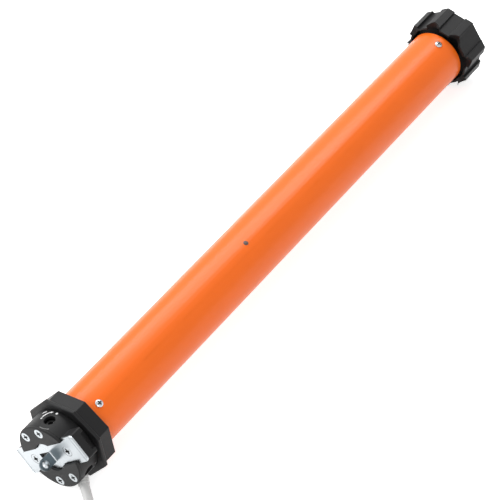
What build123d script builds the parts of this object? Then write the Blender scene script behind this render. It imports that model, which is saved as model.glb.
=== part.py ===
from build123d import *
import os
from math import acos, asin, atan2, cos, degrees, hypot, pi, radians, sin, sqrt, tan

# Tubular roller blind motor, millimetres. +X runs along the motor's axis from the head to the
# drive wheel, +Z is up, and the origin is the middle of the underside of the motor as it lies
# on a flat of its limit crown. A station is a place along the axis, counted from the head's
# face, and an angle is counted from +Y towards +Z.

# Fits
running_gap = 0.05
seat_gap = 0.1
face_gap = 0.25
cut_over = 1.0

# Motor tube, its screws and rivets
tube_diameter = 45.0
tube_wall = 1.2
tube_lip = 0.4
front_screw_inset = 17.1
front_screw_angle = 125.9
rear_screw_setback = 8.4
rear_screw_angle = 114.7
tube_screw_diameter = 3.0
tube_screw_head = 5.8
tube_screw_head_height = 1.6
tube_screw_length = 5.4
rivet_inset = 27.4
rivet_angle = 114.5
rivet_diameter = 2.4
rivet_head = 3.8
rivet_head_height = 0.6
rivet_length = 2.4

# Head housing and end plates
plate_roll = 145.1
head_diameter = 52.6
head_wall = 2.2
head_end = 19.1
head_front_wall = 3.0
head_edge = 1.0
end_plate_thickness = 2.0
channel_half_width = 8.7
pocket_radius = 11.7
bar_half_width = 10.4
bar_half_length = 36.4
bar_corner = 1.5
bar_back_gap = 1.5
bar_notch_depth = 3.0
bar_notch_half = 6.8
boss_radius = 3.9
cover_screw_circle = 21.25
cover_screw_spread = 24.05
cover_screw_head = 7.4
cover_screw_diameter = 3.0
cover_screw_length = 6.2

# Mounting plate with its tab
plate_face = 2.3
plate_thickness = 1.5
plate_half_length = 36.6
plate_waist_half = 8.3
plate_end_half = 10.8
plate_end_start = 24.0
plate_end_corner = 3.0
plate_centre_radius = 11.3
plate_groove_inset = 2.2
plate_groove_width = 0.7
plate_groove_depth = 0.3
tab_width = 8.5
tab_offset = 1.15
tab_reach = 10.7
tab_bend_radius = 0.9
window_length = 12.6
window_corner = 1.2
tab_rivet_diameter = 5.4
tab_rivet_height = 1.5
tab_rivet_shank = 2.6
tab_rivet_station = 6.2
plate_screw_place = 21.0
plate_screw_head = 8.0
plate_screw_diameter = 4.0
plate_screw_length = 15.6

# Head core: the plug that carries the crown, the adjusters and the front end of the tube
core_plate_thickness = 4.7
core_plug_length = 23.0
plug_gap = 0.2
core_bore = 10.0
core_plug_bore = 15.0
neck_radius = 20.6
crown_land_length = 2.45

# Limit crown
collar_length = 3.25
crown_teeth_length = 5.0
crown_length = 14.7
collar_flats = 61.3
crown_flats = 57.2
crown_corner = 22.5
crown_edge = 0.6

# Gear teeth. Centre distances follow from the teeth and the modules.
pressure_angle = 25.0
addendum_share = 0.9
dedendum_share = 1.25
tooth_slack = 0.12
coarse_module = 0.8
fine_module = 0.5
crown_teeth = 56
limit_pinion_teeth = 12
fine_pinion_teeth = 10
fine_wheel_teeth = 34

# Limit unit, behind the head core
limit_pinion_angle = 180.0
limit_shaft_radius = 1.5
limit_shaft_bearing = 3.05
limit_gap = 0.4
limit_plate_thickness = 2.5
limit_unit_length = 32.4
pillar_radius = 1.8
pillar_circle = 18.9
pillar_angles = (100.0, 215.0, 325.0)
wheel_face = 3.0
pinion_face = 4.5
cam_wheel_face = 2.4
cam_lobe_face = 2.4
cam_inset = 16.5
cam_pitch = 6.6
cam_lobe_angles = (150.0, 210.0)
cam_base_radius = 6.2
cam_lobe_radius = 7.7
cam_lobe_half_width = 3.2
switch_thickness = 5.6
switch_width = 11.0
switch_inner = 10.9
switch_outer = 16.5
switch_pin_radius = 0.9
switch_pin_reach = 14.9
switch_pin_side = 3.8
plunger_width = 1.6
plunger_clearance = 0.3
plunger_seat = 2.2
plunger_travel = 0.8

# Adjusting screws, one for each end of travel, reached through the side of the head
adjuster_inset = 4.2
adjuster_spread = 57.6
adjuster_hole = 8.2
adjuster_head_radius = 3.6
adjuster_head_outer = 22.9
adjuster_shank_radius = 2.0
adjuster_worm_radius = 2.8
adjuster_worm_length = 3.4
adjuster_socket_across = 4.0
adjuster_socket_depth = 2.2
adjuster_block_half = 4.4
adjuster_block_outer = 19.6
adjuster_block_inner = 14.6

# Terminal board and capacitor
board_gap = 3.5
board_thickness = 1.6
terminal_length = 8.0
terminal_width = 14.0
terminal_height = 9.0
terminal_offset = 12.0
terminal_count = 4
terminal_hole_radius = 1.2
terminal_hole_depth = 1.5
capacitor_gap = 1.4
capacitor_length = 60.0
capacitor_radius = 16.0
capacitor_edge = 1.5
clamp_length = 14.0
clamp_slot_width = 12.0

# Motor
shield_thickness = 4.0
shield_hub_radius = 9.0
shield_hub_length = 9.0
shield_vent_radius = 2.5
shield_vent_circle = 15.5
shield_vent_count = 6
shield_gap = 10.0
front_winding_gap = 5.8
rear_winding_gap = 2.8
stator_length = 80.0
stator_bore = 22.8
slot_count = 12
slot_inner = 12.6
slot_outer = 18.0
slot_mouth = 1.6
slot_width = 3.6
slot_liner = 0.2
end_turn_length = 13.0
end_turn_outer = 19.6
air_gap = 0.35
rotor_cap_length = 3.0
rotor_cap_radius = 9.8
shaft_radius = 4.0
shaft_inset = 1.0

# Holding brake, on the rotor shaft behind the rear shield
magnet_gap = 2.0
magnet_length = 14.0
magnet_bore_radius = 4.6
magnet_coil_inner = 10.0
magnet_coil_outer = 16.6
magnet_coil_depth = 1.2
spring_pocket_radius = 7.5
spring_pocket_depth = 2.0
spring_inner = 4.8
spring_outer = 7.2
spring_thickness = 0.5
spring_rise = 1.2
armature_gap = 0.6
armature_thickness = 3.2
armature_bore_radius = 5.0
armature_radius = 20.6
brake_face_gap = 0.15
brake_disc_radius = 16.0
brake_disc_thickness = 4.0
guide_pin_radius = 1.2
guide_pin_circle = 18.8
guide_pin_count = 3
guide_pin_length = 3.9

# Planetary gearbox, three stages in one toothed ring
planet_count = 3
sun_teeth = 12
planet_teeth = 15
ring_teeth = 42
flange_thickness = 6.0
stage_faces = (14.0, 18.0, 26.0)
stage_gap = 0.6
carrier_thickness = 4.0
carrier_radius = 15.2
planet_pin_radius = 2.0
ring_tail = 1.0

# Output shaft, its housing and the drive wheel
output_shaft_radius = 8.0
output_land_length = 12.0
output_bore_radius = 17.0
output_housing_length = 97.1
wheel_shaft_radius = 7.0
wheel_shaft_flats = 11.0
wheel_gap = 1.0
wheel_length = 25.4
wheel_flats = 56.5
wheel_corner = 87.6
wheel_wall = 3.4
wheel_web_inset = 11.4
wheel_web_thickness = 3.5
wheel_hub_radius = 11.5
wheel_hub_inset = 0.8
wheel_hub_setback = 5.0
wheel_rib_thickness = 2.0
wheel_rib_setback = 2.5
wheel_edge = 0.8
groove_width = 10.4
groove_depth = 2.0
groove_offset = 0.4
seam_groove_width = 15.4
seam_groove_depth = 0.9
seam_groove_offset = 2.7
seam_sides = (1, 5)
scallop_radius = 6.0
scallop_setback = 2.1
clip_thickness = 1.2
clip_gap = 0.2
clip_groove_depth = 0.8
clip_radius = 9.4
clip_opening = 7.0
shaft_tip_length = 2.2

# Cable: a four-core mains lead. The points of its route are chosen by hand.
cable_diameter = 7.0
gland_station = 8.5
gland_angle = 229.0
gland_direction = (-0.610, -0.725, -0.320)
gland_nose = 5.0
gland_depth = 15.0
gland_wall = 0.9
gland_tip_wall = 0.5
gland_ring_places = (1.2, 3.0)
gland_ring_width = 0.8
gland_ring_depth = 0.25
lead_route = ((-261.8, -32.9, 3.9), (-271.45, -44.4, 3.6), (-294.16, -58.63, 4.4), (-319.74, -70.02, 4.4))
coil_straight = 7.0
coil_inner_radius = 28.5
coil_turn_step = 3.8
coil_half_turns = 6
coil_end_turn = 69.0
coil_layer_rise = 7.5
tail_route = ((-401.66, -43.89, 11.9), (-410.3, -27.75, 5.7), (-412.3, -8.6, 3.55))
tie_thickness = 0.6
tie_width = 6.0
tie_gap = 0.3
core_diameter = 2.0
core_offset = 1.15
core_gap = 0.4
core_steps = ((12.0, 3.4, 1.6, 3.6, 1.8), (22.0, 6.2, 2.5, 1.8, 1.15), (32.0, 9.8, 3.8, 1.2, 1.2))
core_bend = 20.0
ferrule_diameter = 1.7
ferrule_length = 8.0

# Internal wires, from the cable's end to the terminal board
wire_angle = 270.0
wire_circle = 17.5
wire_step_angle = 10.5
wire_start_offset = 1.5
wire_run_in = 7.0
wire_turn_inset = 9.0
wire_bend = 3.5
wire_clearance = 1.0

# Screw heads and cable bends
recess_length_share = 0.56
recess_width_share = 0.17
recess_depth_share = 0.18
dome_rim_share = 0.35
bend_run_share = 0.45

# Places that follow from the sizes above
axis_height = collar_flats / 2
tube_radius = tube_diameter / 2
insert_radius = tube_radius - tube_wall - seat_gap
head_radius = head_diameter / 2
head_inner_radius = head_radius - head_wall
plate_back = plate_face + plate_thickness
cavity_front = plate_back + head_front_wall
cable_radius = cable_diameter / 2
core_radius = core_diameter / 2
octagon_sides = 8
side_angle = 360 / octagon_sides

# Stations from the head to the terminal board
core_front = head_end - core_plate_thickness
bar_end = core_front - bar_back_gap
adjuster_station = core_front - adjuster_inset
crown_land_end = head_end + crown_land_length
crown_start = head_end + face_gap
collar_end = crown_start + collar_length
crown_end = crown_start + crown_length
crown_teeth_start = crown_land_end + face_gap
crown_teeth_end = crown_teeth_start + crown_teeth_length
core_plug_start = crown_teeth_end + plug_gap
core_plug_end = core_plug_start + core_plug_length
tube_start = core_plug_start + plug_gap
front_screw_station = core_plug_start + front_screw_inset
wire_turn_station = core_plug_start + wire_turn_inset
limit_shaft_start = crown_land_end - limit_shaft_bearing
limit_unit_start = core_plug_end + seat_gap
limit_unit_end = limit_unit_start + limit_unit_length
cam_stations = (limit_unit_start + cam_inset, limit_unit_start + cam_inset + cam_pitch)
board_station = limit_unit_end + board_gap
capacitor_start = board_station + board_thickness + terminal_height + capacitor_gap

# Stations of the motor and its brake
front_shield_start = capacitor_start + capacitor_length + shield_gap
shaft_start = front_shield_start + shaft_inset
winding_length = end_turn_length + slot_liner
stator_start = front_shield_start + shield_hub_length + winding_length + front_winding_gap
stator_end = stator_start + stator_length
rivet_station = stator_start + rivet_inset
rear_shield_start = stator_end + winding_length + rear_winding_gap
magnet_start = rear_shield_start + shield_thickness + magnet_gap
magnet_end = magnet_start + magnet_length
armature_start = magnet_end + armature_gap
brake_disc_start = armature_start + armature_thickness + brake_face_gap

# Stations of the gearbox and the output. Each stage is its starting station and the width of
# its planets.
gearbox_start = brake_disc_start + brake_disc_thickness + brake_face_gap
stages = []
station = gearbox_start + flange_thickness + stage_gap
for face in stage_faces:
    stages.append((station, face))
    station += face + carrier_thickness + 2 * stage_gap
gearbox_end = station - stage_gap + ring_tail
output_housing_start = gearbox_end + limit_gap
output_housing_end = output_housing_start + output_housing_length
rear_screw_station = output_housing_end - rear_screw_setback
tube_end = output_housing_end + tube_lip
wheel_start = tube_end + wheel_gap
wheel_end = wheel_start + wheel_length
wheel_web_start = wheel_start + wheel_web_inset
wheel_hub_start = wheel_start + wheel_hub_inset
wheel_hub_end = wheel_end - wheel_hub_setback
clip_start = wheel_hub_end + clip_gap
shaft_tip = clip_start + clip_thickness + shaft_tip_length
middle = (wheel_end - tab_reach) / 2


def across(station, roll=0.0, radius=0.0, angle=0.0):
    """Plane square to the axis that faces the drive end, with local x at `roll` from +Y. Its
    origin is on the axis, or at `radius` and `angle` from it."""
    turn, place = radians(roll), radians(angle)
    centre = (station - middle, radius * cos(place), axis_height + radius * sin(place))
    return Plane(origin=centre, x_dir=(0, cos(turn), sin(turn)), z_dir=(1, 0, 0))


def facing_out(station, x=0.0, y=0.0):
    """Plane square to the axis that faces out of the head, with local x along the mounting
    plate. Its origin is at x along the plate and y across it."""
    turn = radians(plate_roll)
    centre = (station - middle, x * cos(turn) - y * sin(turn), axis_height + x * sin(turn) + y * cos(turn))
    return Plane(origin=centre, x_dir=(0, cos(turn), sin(turn)), z_dir=(-1, 0, 0))


def along_plate(place, x=0.0, y=0.0):
    """Plane that faces along the mounting plate, at `place` from the axis, with local x out of
    the head. Its origin is x outside the head's face and y across the plate."""
    turn = radians(plate_roll)
    centre = (-middle - x, place * cos(turn) - y * sin(turn), axis_height + place * sin(turn) + y * cos(turn))
    return Plane(origin=centre, x_dir=(-1, 0, 0), z_dir=(0, cos(turn), sin(turn)))


def outward(station, angle, reach):
    """Plane facing out from the axis at `angle`, with local x along the motor."""
    turn = radians(angle)
    centre = (station - middle, reach * cos(turn), axis_height + reach * sin(turn))
    return Plane(origin=centre, x_dir=(1, 0, 0), z_dir=(0, cos(turn), sin(turn)))


def round_bar(plane, radius, length, bore=0.0, x=0.0, y=0.0, mode=Mode.ADD):
    """Rod, disc or ring that stands on `plane`, at x and y of it."""
    with BuildSketch(plane) as section:
        with Locations((x, y)):
            Circle(radius)
            if bore:
                Circle(bore, mode=Mode.SUBTRACT)
    extrude(section.sketch, amount=length, mode=mode)


def block(plane, length, width, height, x=0.0, y=0.0, mode=Mode.ADD):
    """Rectangular block that stands on `plane`, centred on x and y of it."""
    with BuildSketch(plane) as section:
        with Locations((x, y)):
            Rectangle(length, width)
    extrude(section.sketch, amount=height, mode=mode)


def involute(angle):
    return tan(angle) - angle


def tooth_outline(teeth, module, turn=0.0, internal=False):
    """Points round a gear with involute teeth, or round the hole of an internal gear."""
    pitch_radius = module * teeth / 2
    base_radius = pitch_radius * cos(radians(pressure_angle))
    shares = (dedendum_share, addendum_share) if internal else (addendum_share, dedendum_share)
    tip = pitch_radius + shares[0] * module
    root = pitch_radius - shares[1] * module
    slack = tooth_slack if internal else -tooth_slack
    half_tooth = pi / 2 / teeth + slack / 2 / pitch_radius
    flank = []
    for radius in (root, max(base_radius, (root + pitch_radius) / 2), pitch_radius, tip):
        local_pressure = acos(min(1, base_radius / max(radius, base_radius)))
        flank.append((radius, half_tooth + involute(radians(pressure_angle)) - involute(local_pressure)))
    points = []
    for tooth in range(teeth):
        centre = radians(turn) + 2 * pi * tooth / teeth
        points += [(r * cos(centre - a), r * sin(centre - a)) for r, a in flank]
        points += [(r * cos(centre + a), r * sin(centre + a)) for r, a in reversed(flank)]
    return points


def gear(plane, teeth, module, face, turn=0.0):
    """Toothed wheel that stands on `plane`, with a tooth at `turn` degrees."""
    with BuildSketch(plane) as section:
        Polygon(*tooth_outline(teeth, module, turn), align=None)
    extrude(section.sketch, amount=face)


def toothed_hole(plane, teeth, module, face):
    """Hole of an internal gear, cut from `plane`."""
    with BuildSketch(plane) as section:
        Polygon(*tooth_outline(teeth, module, internal=True), align=None)
    extrude(section.sketch, amount=face, mode=Mode.SUBTRACT)


def facing_space(direction, teeth):
    """Turn of a gear that has a space where its mate, coming along `direction`, has a tooth."""
    return direction + 180 + 180 / teeth


def cross_recess(plane, head_size):
    """Phillips recess in a screw head whose outer face is on `plane`."""
    length, width = head_size * recess_length_share, head_size * recess_width_share
    block(plane, length, width, -head_size * recess_depth_share, mode=Mode.SUBTRACT)
    block(plane, width, length, -head_size * recess_depth_share, mode=Mode.SUBTRACT)


def countersunk(plane, diameter, head, length, gap=0.0, mode=Mode.ADD):
    """Countersunk screw with its flat head on `plane`, or the hole for it with a gap round it."""
    sink = (head - diameter) / 2
    with BuildSketch(plane) as rim:
        Circle(head / 2 + gap)
    with BuildSketch(plane.offset(-sink)) as neck:
        Circle(diameter / 2 + gap)
    loft([rim.sketch.faces()[0], neck.sketch.faces()[0]], mode=mode)
    extrude(neck.sketch, amount=-(length - sink), mode=mode)


def domed_head(plane, radius, height):
    """Round head that stands on `plane`, with a straight rim and a domed top."""
    rim = height * dome_rim_share
    dome_radius = (radius**2 + (height - rim) ** 2) / 2 / (height - rim)
    side = Plane(origin=plane.origin, x_dir=plane.x_dir, z_dir=-plane.y_dir)
    with BuildSketch(side) as half:
        with BuildLine():
            Polyline((0, height), (0, 0), (radius, 0), (radius, rim))
            spread = degrees(asin(radius / dome_radius))
            CenterArc((0, height - dome_radius), dome_radius, 90 - spread, spread)
        make_face()
    revolve(half.sketch, axis=Axis(plane.origin, plane.z_dir))


def shield(start, hub_start):
    """End shield of the motor: a vented disc with a hub that carries the rotor's shaft."""
    round_bar(across(start), insert_radius, shield_thickness)
    round_bar(across(hub_start), shield_hub_radius, shield_hub_length)
    bore_start = min(start, hub_start)
    round_bar(across(bore_start), shaft_radius + running_gap, shield_hub_length, mode=Mode.SUBTRACT)
    for vent in range(shield_vent_count):
        place = across(start, 0, shield_vent_circle, vent * 360 / shield_vent_count)
        round_bar(place, shield_vent_radius, shield_thickness, mode=Mode.SUBTRACT)


def planet_wheel(start, face, angle):
    """Planet on its carrier's pin, in mesh with the sun and the ring."""
    place = across(start, 0, planet_circle, angle)
    gear(place, planet_teeth, coarse_module, face, angle)
    round_bar(place, planet_pin_radius + running_gap, face, mode=Mode.SUBTRACT)


def carrier_disc(start, face):
    """Disc behind a stage's planets, with the pins that carry them."""
    round_bar(across(start + face + stage_gap), carrier_radius, carrier_thickness)
    for planet in range(planet_count):
        place = across(start, 0, planet_circle, planet * 360 / planet_count)
        round_bar(place, planet_pin_radius, face + stage_gap)


def counter_wheel(radius, angle, start, wheel_turn, pinion_turn, pinion_length):
    """Wheel and pinion in one piece, free on a pin of the limit frame."""
    place = across(start, 0, radius, angle)
    gear(place, fine_wheel_teeth, fine_module, wheel_face, wheel_turn)
    gear(place.offset(wheel_face), fine_pinion_teeth, fine_module, pinion_length, pinion_turn)
    bore = limit_shaft_radius + running_gap
    round_bar(place, bore, wheel_face + pinion_length, mode=Mode.SUBTRACT)


def limit_cam(start, lobe_angle):
    """Wheel with a cam beside it, free on the middle pin of the limit frame."""
    gear_turn = facing_space(lay_angle + 180, fine_wheel_teeth)
    gear(across(start), fine_wheel_teeth, fine_module, cam_wheel_face, gear_turn)
    round_bar(across(start + cam_wheel_face), cam_base_radius, cam_lobe_face)
    with BuildSketch(across(start + cam_wheel_face, lobe_angle)) as lobe:
        Circle(cam_lobe_radius)
        with Locations((cam_lobe_radius / 2, 0)):
            Rectangle(cam_lobe_radius, 2 * cam_lobe_half_width, mode=Mode.INTERSECT)
    extrude(lobe.sketch, amount=cam_lobe_face)
    bore = limit_shaft_radius + running_gap
    round_bar(across(start), bore, cam_wheel_face + cam_lobe_face, mode=Mode.SUBTRACT)


def route_bends(points):
    """Radius at each corner of a cable's route, as large as the two runs beside it allow."""
    radii = []
    for before, here, after in zip(points, points[1:], points[2:]):
        run_in, run_out = Vector(*here) - Vector(*before), Vector(*after) - Vector(*here)
        half_turn = radians(run_in.get_angle(run_out) / 2)
        radii.append(bend_run_share * min(run_in.length, run_out.length) / tan(half_turn))
    return radii


def cable_tube(points, radius, bends):
    """Round tube along straight runs joined by arcs. Returns the line along its middle."""
    with BuildLine() as route:
        FilletPolyline(*points, radius=bends)
    line = route.wires()[0]
    with BuildSketch(Plane(origin=line @ 0, z_dir=line % 0)) as section:
        Circle(radius)
    sweep(section.sketch, path=line)
    return line


os.makedirs("parts", exist_ok=True)

# Head: housing, end plates, and the mounting plate that lies across them

plate_sides = (1, -1)
cover_screw_places = [
    (cover_screw_circle * cos(radians(side + lean)), cover_screw_circle * sin(radians(side + lean)))
    for side in (90, -90)
    for lean in (-cover_screw_spread, cover_screw_spread)
]
adjuster_angles = (plate_roll - adjuster_spread, plate_roll + adjuster_spread)
gland_out = Vector(*gland_direction).normalized()
gland_turn = radians(gland_angle)
gland_exit = Vector(
    gland_station - middle, head_radius * cos(gland_turn), axis_height + head_radius * sin(gland_turn)
)
gland_radius = cable_radius + running_gap + gland_wall


def gland_plane(distance):
    """Plane square to the cable where it leaves the head, `distance` outside the surface."""
    return Plane(origin=gland_exit + gland_out * distance, x_dir=(0, 0, 1), z_dir=gland_out)


with BuildPart() as head_housing:
    round_bar(across(end_plate_thickness), head_radius, head_end - end_plate_thickness)
    with BuildSketch(across(plate_back, plate_roll)):
        RectangleRounded(2 * bar_half_length, 2 * bar_half_width, bar_corner)
    extrude(amount=bar_end - plate_back)
    notch_length = bar_half_length - head_radius - head_wall
    channel_depth = plate_back - end_plate_thickness
    for side in plate_sides:
        notch_place = side * (bar_half_length - notch_length / 2 + cut_over / 2)
        notch_plane = across(bar_end - bar_notch_depth, plate_roll)
        block(
            notch_plane, notch_length + cut_over, 2 * bar_notch_half, bar_notch_depth,
            x=notch_place, mode=Mode.SUBTRACT,
        )
        end_place = side * (plate_end_start - seat_gap + head_radius)
        block(
            across(end_plate_thickness, plate_roll), head_diameter, 2 * (plate_end_half + seat_gap),
            channel_depth, x=end_place, mode=Mode.SUBTRACT,
        )
    block(
        across(end_plate_thickness, plate_roll), 2 * head_diameter, 2 * channel_half_width,
        channel_depth, mode=Mode.SUBTRACT,
    )
    round_bar(across(end_plate_thickness), pocket_radius, channel_depth, mode=Mode.SUBTRACT)
    round_bar(across(cavity_front), head_inner_radius, head_end - cavity_front, mode=Mode.SUBTRACT)
    for side in (0, 180):
        boss = across(cavity_front, 0, plate_screw_place, plate_roll + side)
        round_bar(boss, boss_radius, core_front - seat_gap - cavity_front)
    for side in plate_sides:
        countersunk(
            facing_out(plate_face, side * plate_screw_place), plate_screw_diameter, plate_screw_head,
            plate_screw_length, seat_gap, Mode.SUBTRACT,
        )
    for x, y in cover_screw_places:
        countersunk(
            facing_out(0, x, y), cover_screw_diameter, cover_screw_head,
            cover_screw_length + cut_over, seat_gap, Mode.SUBTRACT,
        )
    for angle in adjuster_angles:
        key_way = outward(adjuster_station, angle, adjuster_block_outer)
        round_bar(key_way, adjuster_hole / 2, head_radius, mode=Mode.SUBTRACT)
    gland_hole_depth = gland_depth + 2 * head_wall
    round_bar(gland_plane(-gland_depth), gland_radius + seat_gap, gland_hole_depth, mode=Mode.SUBTRACT)
head_housing.part.label = "head_housing"
export_step(head_housing.part, "parts/head_housing.step")

with BuildPart() as end_plates:
    with BuildSketch(across(0, plate_roll)):
        Circle(head_radius)
        Rectangle(2 * head_diameter, 2 * channel_half_width, mode=Mode.SUBTRACT)
        Circle(pocket_radius, mode=Mode.SUBTRACT)
    extrude(amount=end_plate_thickness)
    front_rims = end_plates.edges().filter_by(GeomType.CIRCLE).group_by(Axis.X)[0]
    fillet([rim for rim in front_rims if rim.radius > pocket_radius + head_wall], head_edge)
    for x, y in cover_screw_places:
        countersunk(
            facing_out(0, x, y), cover_screw_diameter, cover_screw_head,
            cover_screw_length, seat_gap, Mode.SUBTRACT,
        )
end_plates.part.label = "end_plates"
export_step(end_plates.part, "parts/end_plates.step")

with BuildPart() as mounting_plate:
    with BuildSketch(across(plate_face, plate_roll)) as outline:
        Rectangle(2 * plate_half_length, 2 * plate_waist_half)
        Circle(plate_centre_radius)
        end_length = plate_half_length - plate_end_start
        with Locations((plate_end_start + end_length / 2, 0), (-plate_end_start - end_length / 2, 0)):
            Rectangle(end_length, 2 * plate_end_half)
        corners = outline.vertices().group_by(Axis.X)
        fillet(corners[0] + corners[-1], plate_end_corner)
        with Locations((-window_length / 2, tab_offset)):
            Rectangle(window_length, tab_width, mode=Mode.SUBTRACT)
    extrude(amount=plate_thickness)
    tab_straight = tab_reach - tab_width / 2
    with BuildSketch(along_plate(0)):
        with Locations(((tab_straight - plate_back) / 2, tab_offset)):
            Rectangle(tab_straight + plate_back, tab_width)
        with Locations((tab_straight, tab_offset)):
            Circle(tab_width / 2)
    extrude(amount=plate_thickness)
    inner_bend = along_plate(plate_thickness, -plate_face, tab_offset).origin
    outer_bend = along_plate(0, -plate_back, tab_offset).origin
    straight_edges = mounting_plate.edges().filter_by(GeomType.LINE)
    fillet([straight_edges.sort_by_distance(bend)[0] for bend in (inner_bend, outer_bend)], tab_bend_radius)
    for side in plate_sides:
        countersunk(
            facing_out(plate_face, side * plate_screw_place), plate_screw_diameter, plate_screw_head,
            plate_screw_length, seat_gap, Mode.SUBTRACT,
        )
        groove = facing_out(plate_face, side * (plate_half_length - plate_groove_inset))
        block(groove, plate_groove_width, 2 * plate_end_half, -plate_groove_depth, mode=Mode.SUBTRACT)
    rivet_seat = along_plate(0, tab_rivet_station, tab_offset)
    round_bar(rivet_seat, tab_rivet_shank / 2 + running_gap, plate_thickness, mode=Mode.SUBTRACT)
mounting_plate.part.label = "mounting_plate"
export_step(mounting_plate.part, "parts/mounting_plate.step")

with BuildPart() as tab_rivet:
    made_head = along_plate(plate_thickness, tab_rivet_station, tab_offset)
    domed_head(made_head, tab_rivet_diameter / 2, tab_rivet_height)
    round_bar(rivet_seat, tab_rivet_shank / 2, plate_thickness)
    closing_head = along_plate(-tab_rivet_height / 2, tab_rivet_station, tab_offset)
    round_bar(closing_head, tab_rivet_shank, tab_rivet_height / 2)
tab_rivet.part.label = "tab_rivet"
export_step(tab_rivet.part, "parts/tab_rivet.step")

with BuildPart() as plate_screws:
    for side in plate_sides:
        seat = facing_out(plate_face, side * plate_screw_place)
        countersunk(seat, plate_screw_diameter, plate_screw_head, plate_screw_length)
        cross_recess(seat, plate_screw_head)
plate_screws.part.label = "plate_screws"
export_step(plate_screws.part, "parts/plate_screws.step")

with BuildPart() as end_plate_screws:
    for x, y in cover_screw_places:
        seat = facing_out(0, x, y)
        countersunk(seat, cover_screw_diameter, cover_screw_head, cover_screw_length)
        cross_recess(seat, cover_screw_head)
end_plate_screws.part.label = "end_plate_screws"
export_step(end_plate_screws.part, "parts/end_plate_screws.step")

# Head core with the two adjusting screws

limit_circle = coarse_module * (crown_teeth - limit_pinion_teeth) / 2
limit_pinion_tip = coarse_module * (limit_pinion_teeth / 2 + addendum_share)
wire_slot_half = wire_circle * sin(radians(1.5 * wire_step_angle)) + core_radius + wire_clearance
wire_slot_reach = wire_circle + core_radius + wire_clearance
block_length = core_front - cavity_front - seat_gap
block_middle = core_front - block_length / 2

with BuildPart() as head_core:
    round_bar(across(core_front), head_inner_radius - seat_gap, head_end - core_front)
    round_bar(across(head_end), tube_radius - running_gap, crown_land_end - head_end)
    round_bar(across(crown_land_end), neck_radius, core_plug_start - crown_land_end)
    round_bar(across(core_plug_start), insert_radius, core_plug_end - core_plug_start)
    round_bar(across(core_front), core_bore, core_plug_start - core_front, mode=Mode.SUBTRACT)
    round_bar(across(core_plug_start), core_plug_bore, core_plug_end - core_plug_start, mode=Mode.SUBTRACT)
    block(
        across(head_end, wire_angle), wire_slot_reach, 2 * wire_slot_half, core_plug_end - head_end,
        x=wire_slot_reach / 2, mode=Mode.SUBTRACT,
    )
    pinion_pocket = across(crown_land_end, 0, limit_circle, limit_pinion_angle)
    round_bar(
        pinion_pocket, limit_pinion_tip + limit_gap, core_plug_start - crown_land_end, mode=Mode.SUBTRACT
    )
    shaft_hole = across(limit_shaft_start - face_gap, 0, limit_circle, limit_pinion_angle)
    round_bar(shaft_hole, limit_shaft_radius + running_gap, core_plug_end, mode=Mode.SUBTRACT)
    for angle in adjuster_angles:
        block(
            outward(block_middle, angle, adjuster_block_inner), block_length, 2 * adjuster_block_half,
            adjuster_block_outer - adjuster_block_inner,
        )
        bearing = outward(adjuster_station, angle, adjuster_block_inner)
        bearing_length = adjuster_block_outer - adjuster_block_inner
        round_bar(bearing, adjuster_shank_radius + running_gap, bearing_length, mode=Mode.SUBTRACT)
    for side in plate_sides:
        seat = facing_out(core_front, side * plate_screw_place)
        round_bar(seat, plate_screw_diameter / 2 + seat_gap, core_front - head_end, mode=Mode.SUBTRACT)
    for side in (0, 180):
        seat = outward(front_screw_station, front_screw_angle + side, core_plug_bore)
        round_bar(seat, tube_screw_diameter / 2 + running_gap, tube_wall + insert_radius, mode=Mode.SUBTRACT)
    cable_way = gland_plane(-gland_depth - wire_run_in)
    cable_way_length = gland_depth + wire_run_in - head_wall
    round_bar(cable_way, gland_radius + wire_clearance / 2, cable_way_length, mode=Mode.SUBTRACT)
head_core.part.label = "head_core"
export_step(head_core.part, "parts/head_core.step")

for name, angle in zip(("up_adjuster", "down_adjuster"), adjuster_angles):
    with BuildPart() as adjuster:
        worm_top = adjuster_block_inner - face_gap
        head_bottom = adjuster_block_outer + face_gap
        worm = outward(adjuster_station, angle, worm_top - adjuster_worm_length)
        round_bar(worm, adjuster_worm_radius, adjuster_worm_length)
        round_bar(outward(adjuster_station, angle, worm_top), adjuster_shank_radius, head_bottom - worm_top)
        head = outward(adjuster_station, angle, head_bottom)
        round_bar(head, adjuster_head_radius, adjuster_head_outer - head_bottom)
        with BuildSketch(outward(adjuster_station, angle, adjuster_head_outer)):
            RegularPolygon(adjuster_socket_across / 2, 6, major_radius=False)
        extrude(amount=-adjuster_socket_depth, mode=Mode.SUBTRACT)
    adjuster.part.label = name
    export_step(adjuster.part, f"parts/{name}.step")

# Limit crown, and the train that its teeth drive

with BuildPart() as limit_crown:
    with BuildSketch(across(crown_start, crown_corner)):
        RegularPolygon(collar_flats / 2, octagon_sides, major_radius=False)
    extrude(amount=collar_end - crown_start)
    collar_faces = limit_crown.faces().sort_by(Axis.X)
    chamfer(collar_faces[0].edges() + collar_faces[-1].edges(), crown_edge)
    with BuildSketch(across(collar_end, crown_corner)):
        RegularPolygon(crown_flats / 2, octagon_sides, major_radius=False)
    extrude(amount=crown_end - collar_end)
    chamfer(limit_crown.faces().sort_by(Axis.X)[-1].edges(), crown_edge)
    round_bar(across(crown_start), tube_radius, crown_teeth_start - crown_start, mode=Mode.SUBTRACT)
    toothed_hole(across(crown_teeth_start), crown_teeth, coarse_module, crown_teeth_end - crown_teeth_start)
    round_bar(
        across(crown_teeth_end), tube_radius + running_gap, crown_end - crown_teeth_end, mode=Mode.SUBTRACT
    )
limit_crown.part.label = "limit_crown"
export_step(limit_crown.part, "parts/limit_crown.step")

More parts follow.
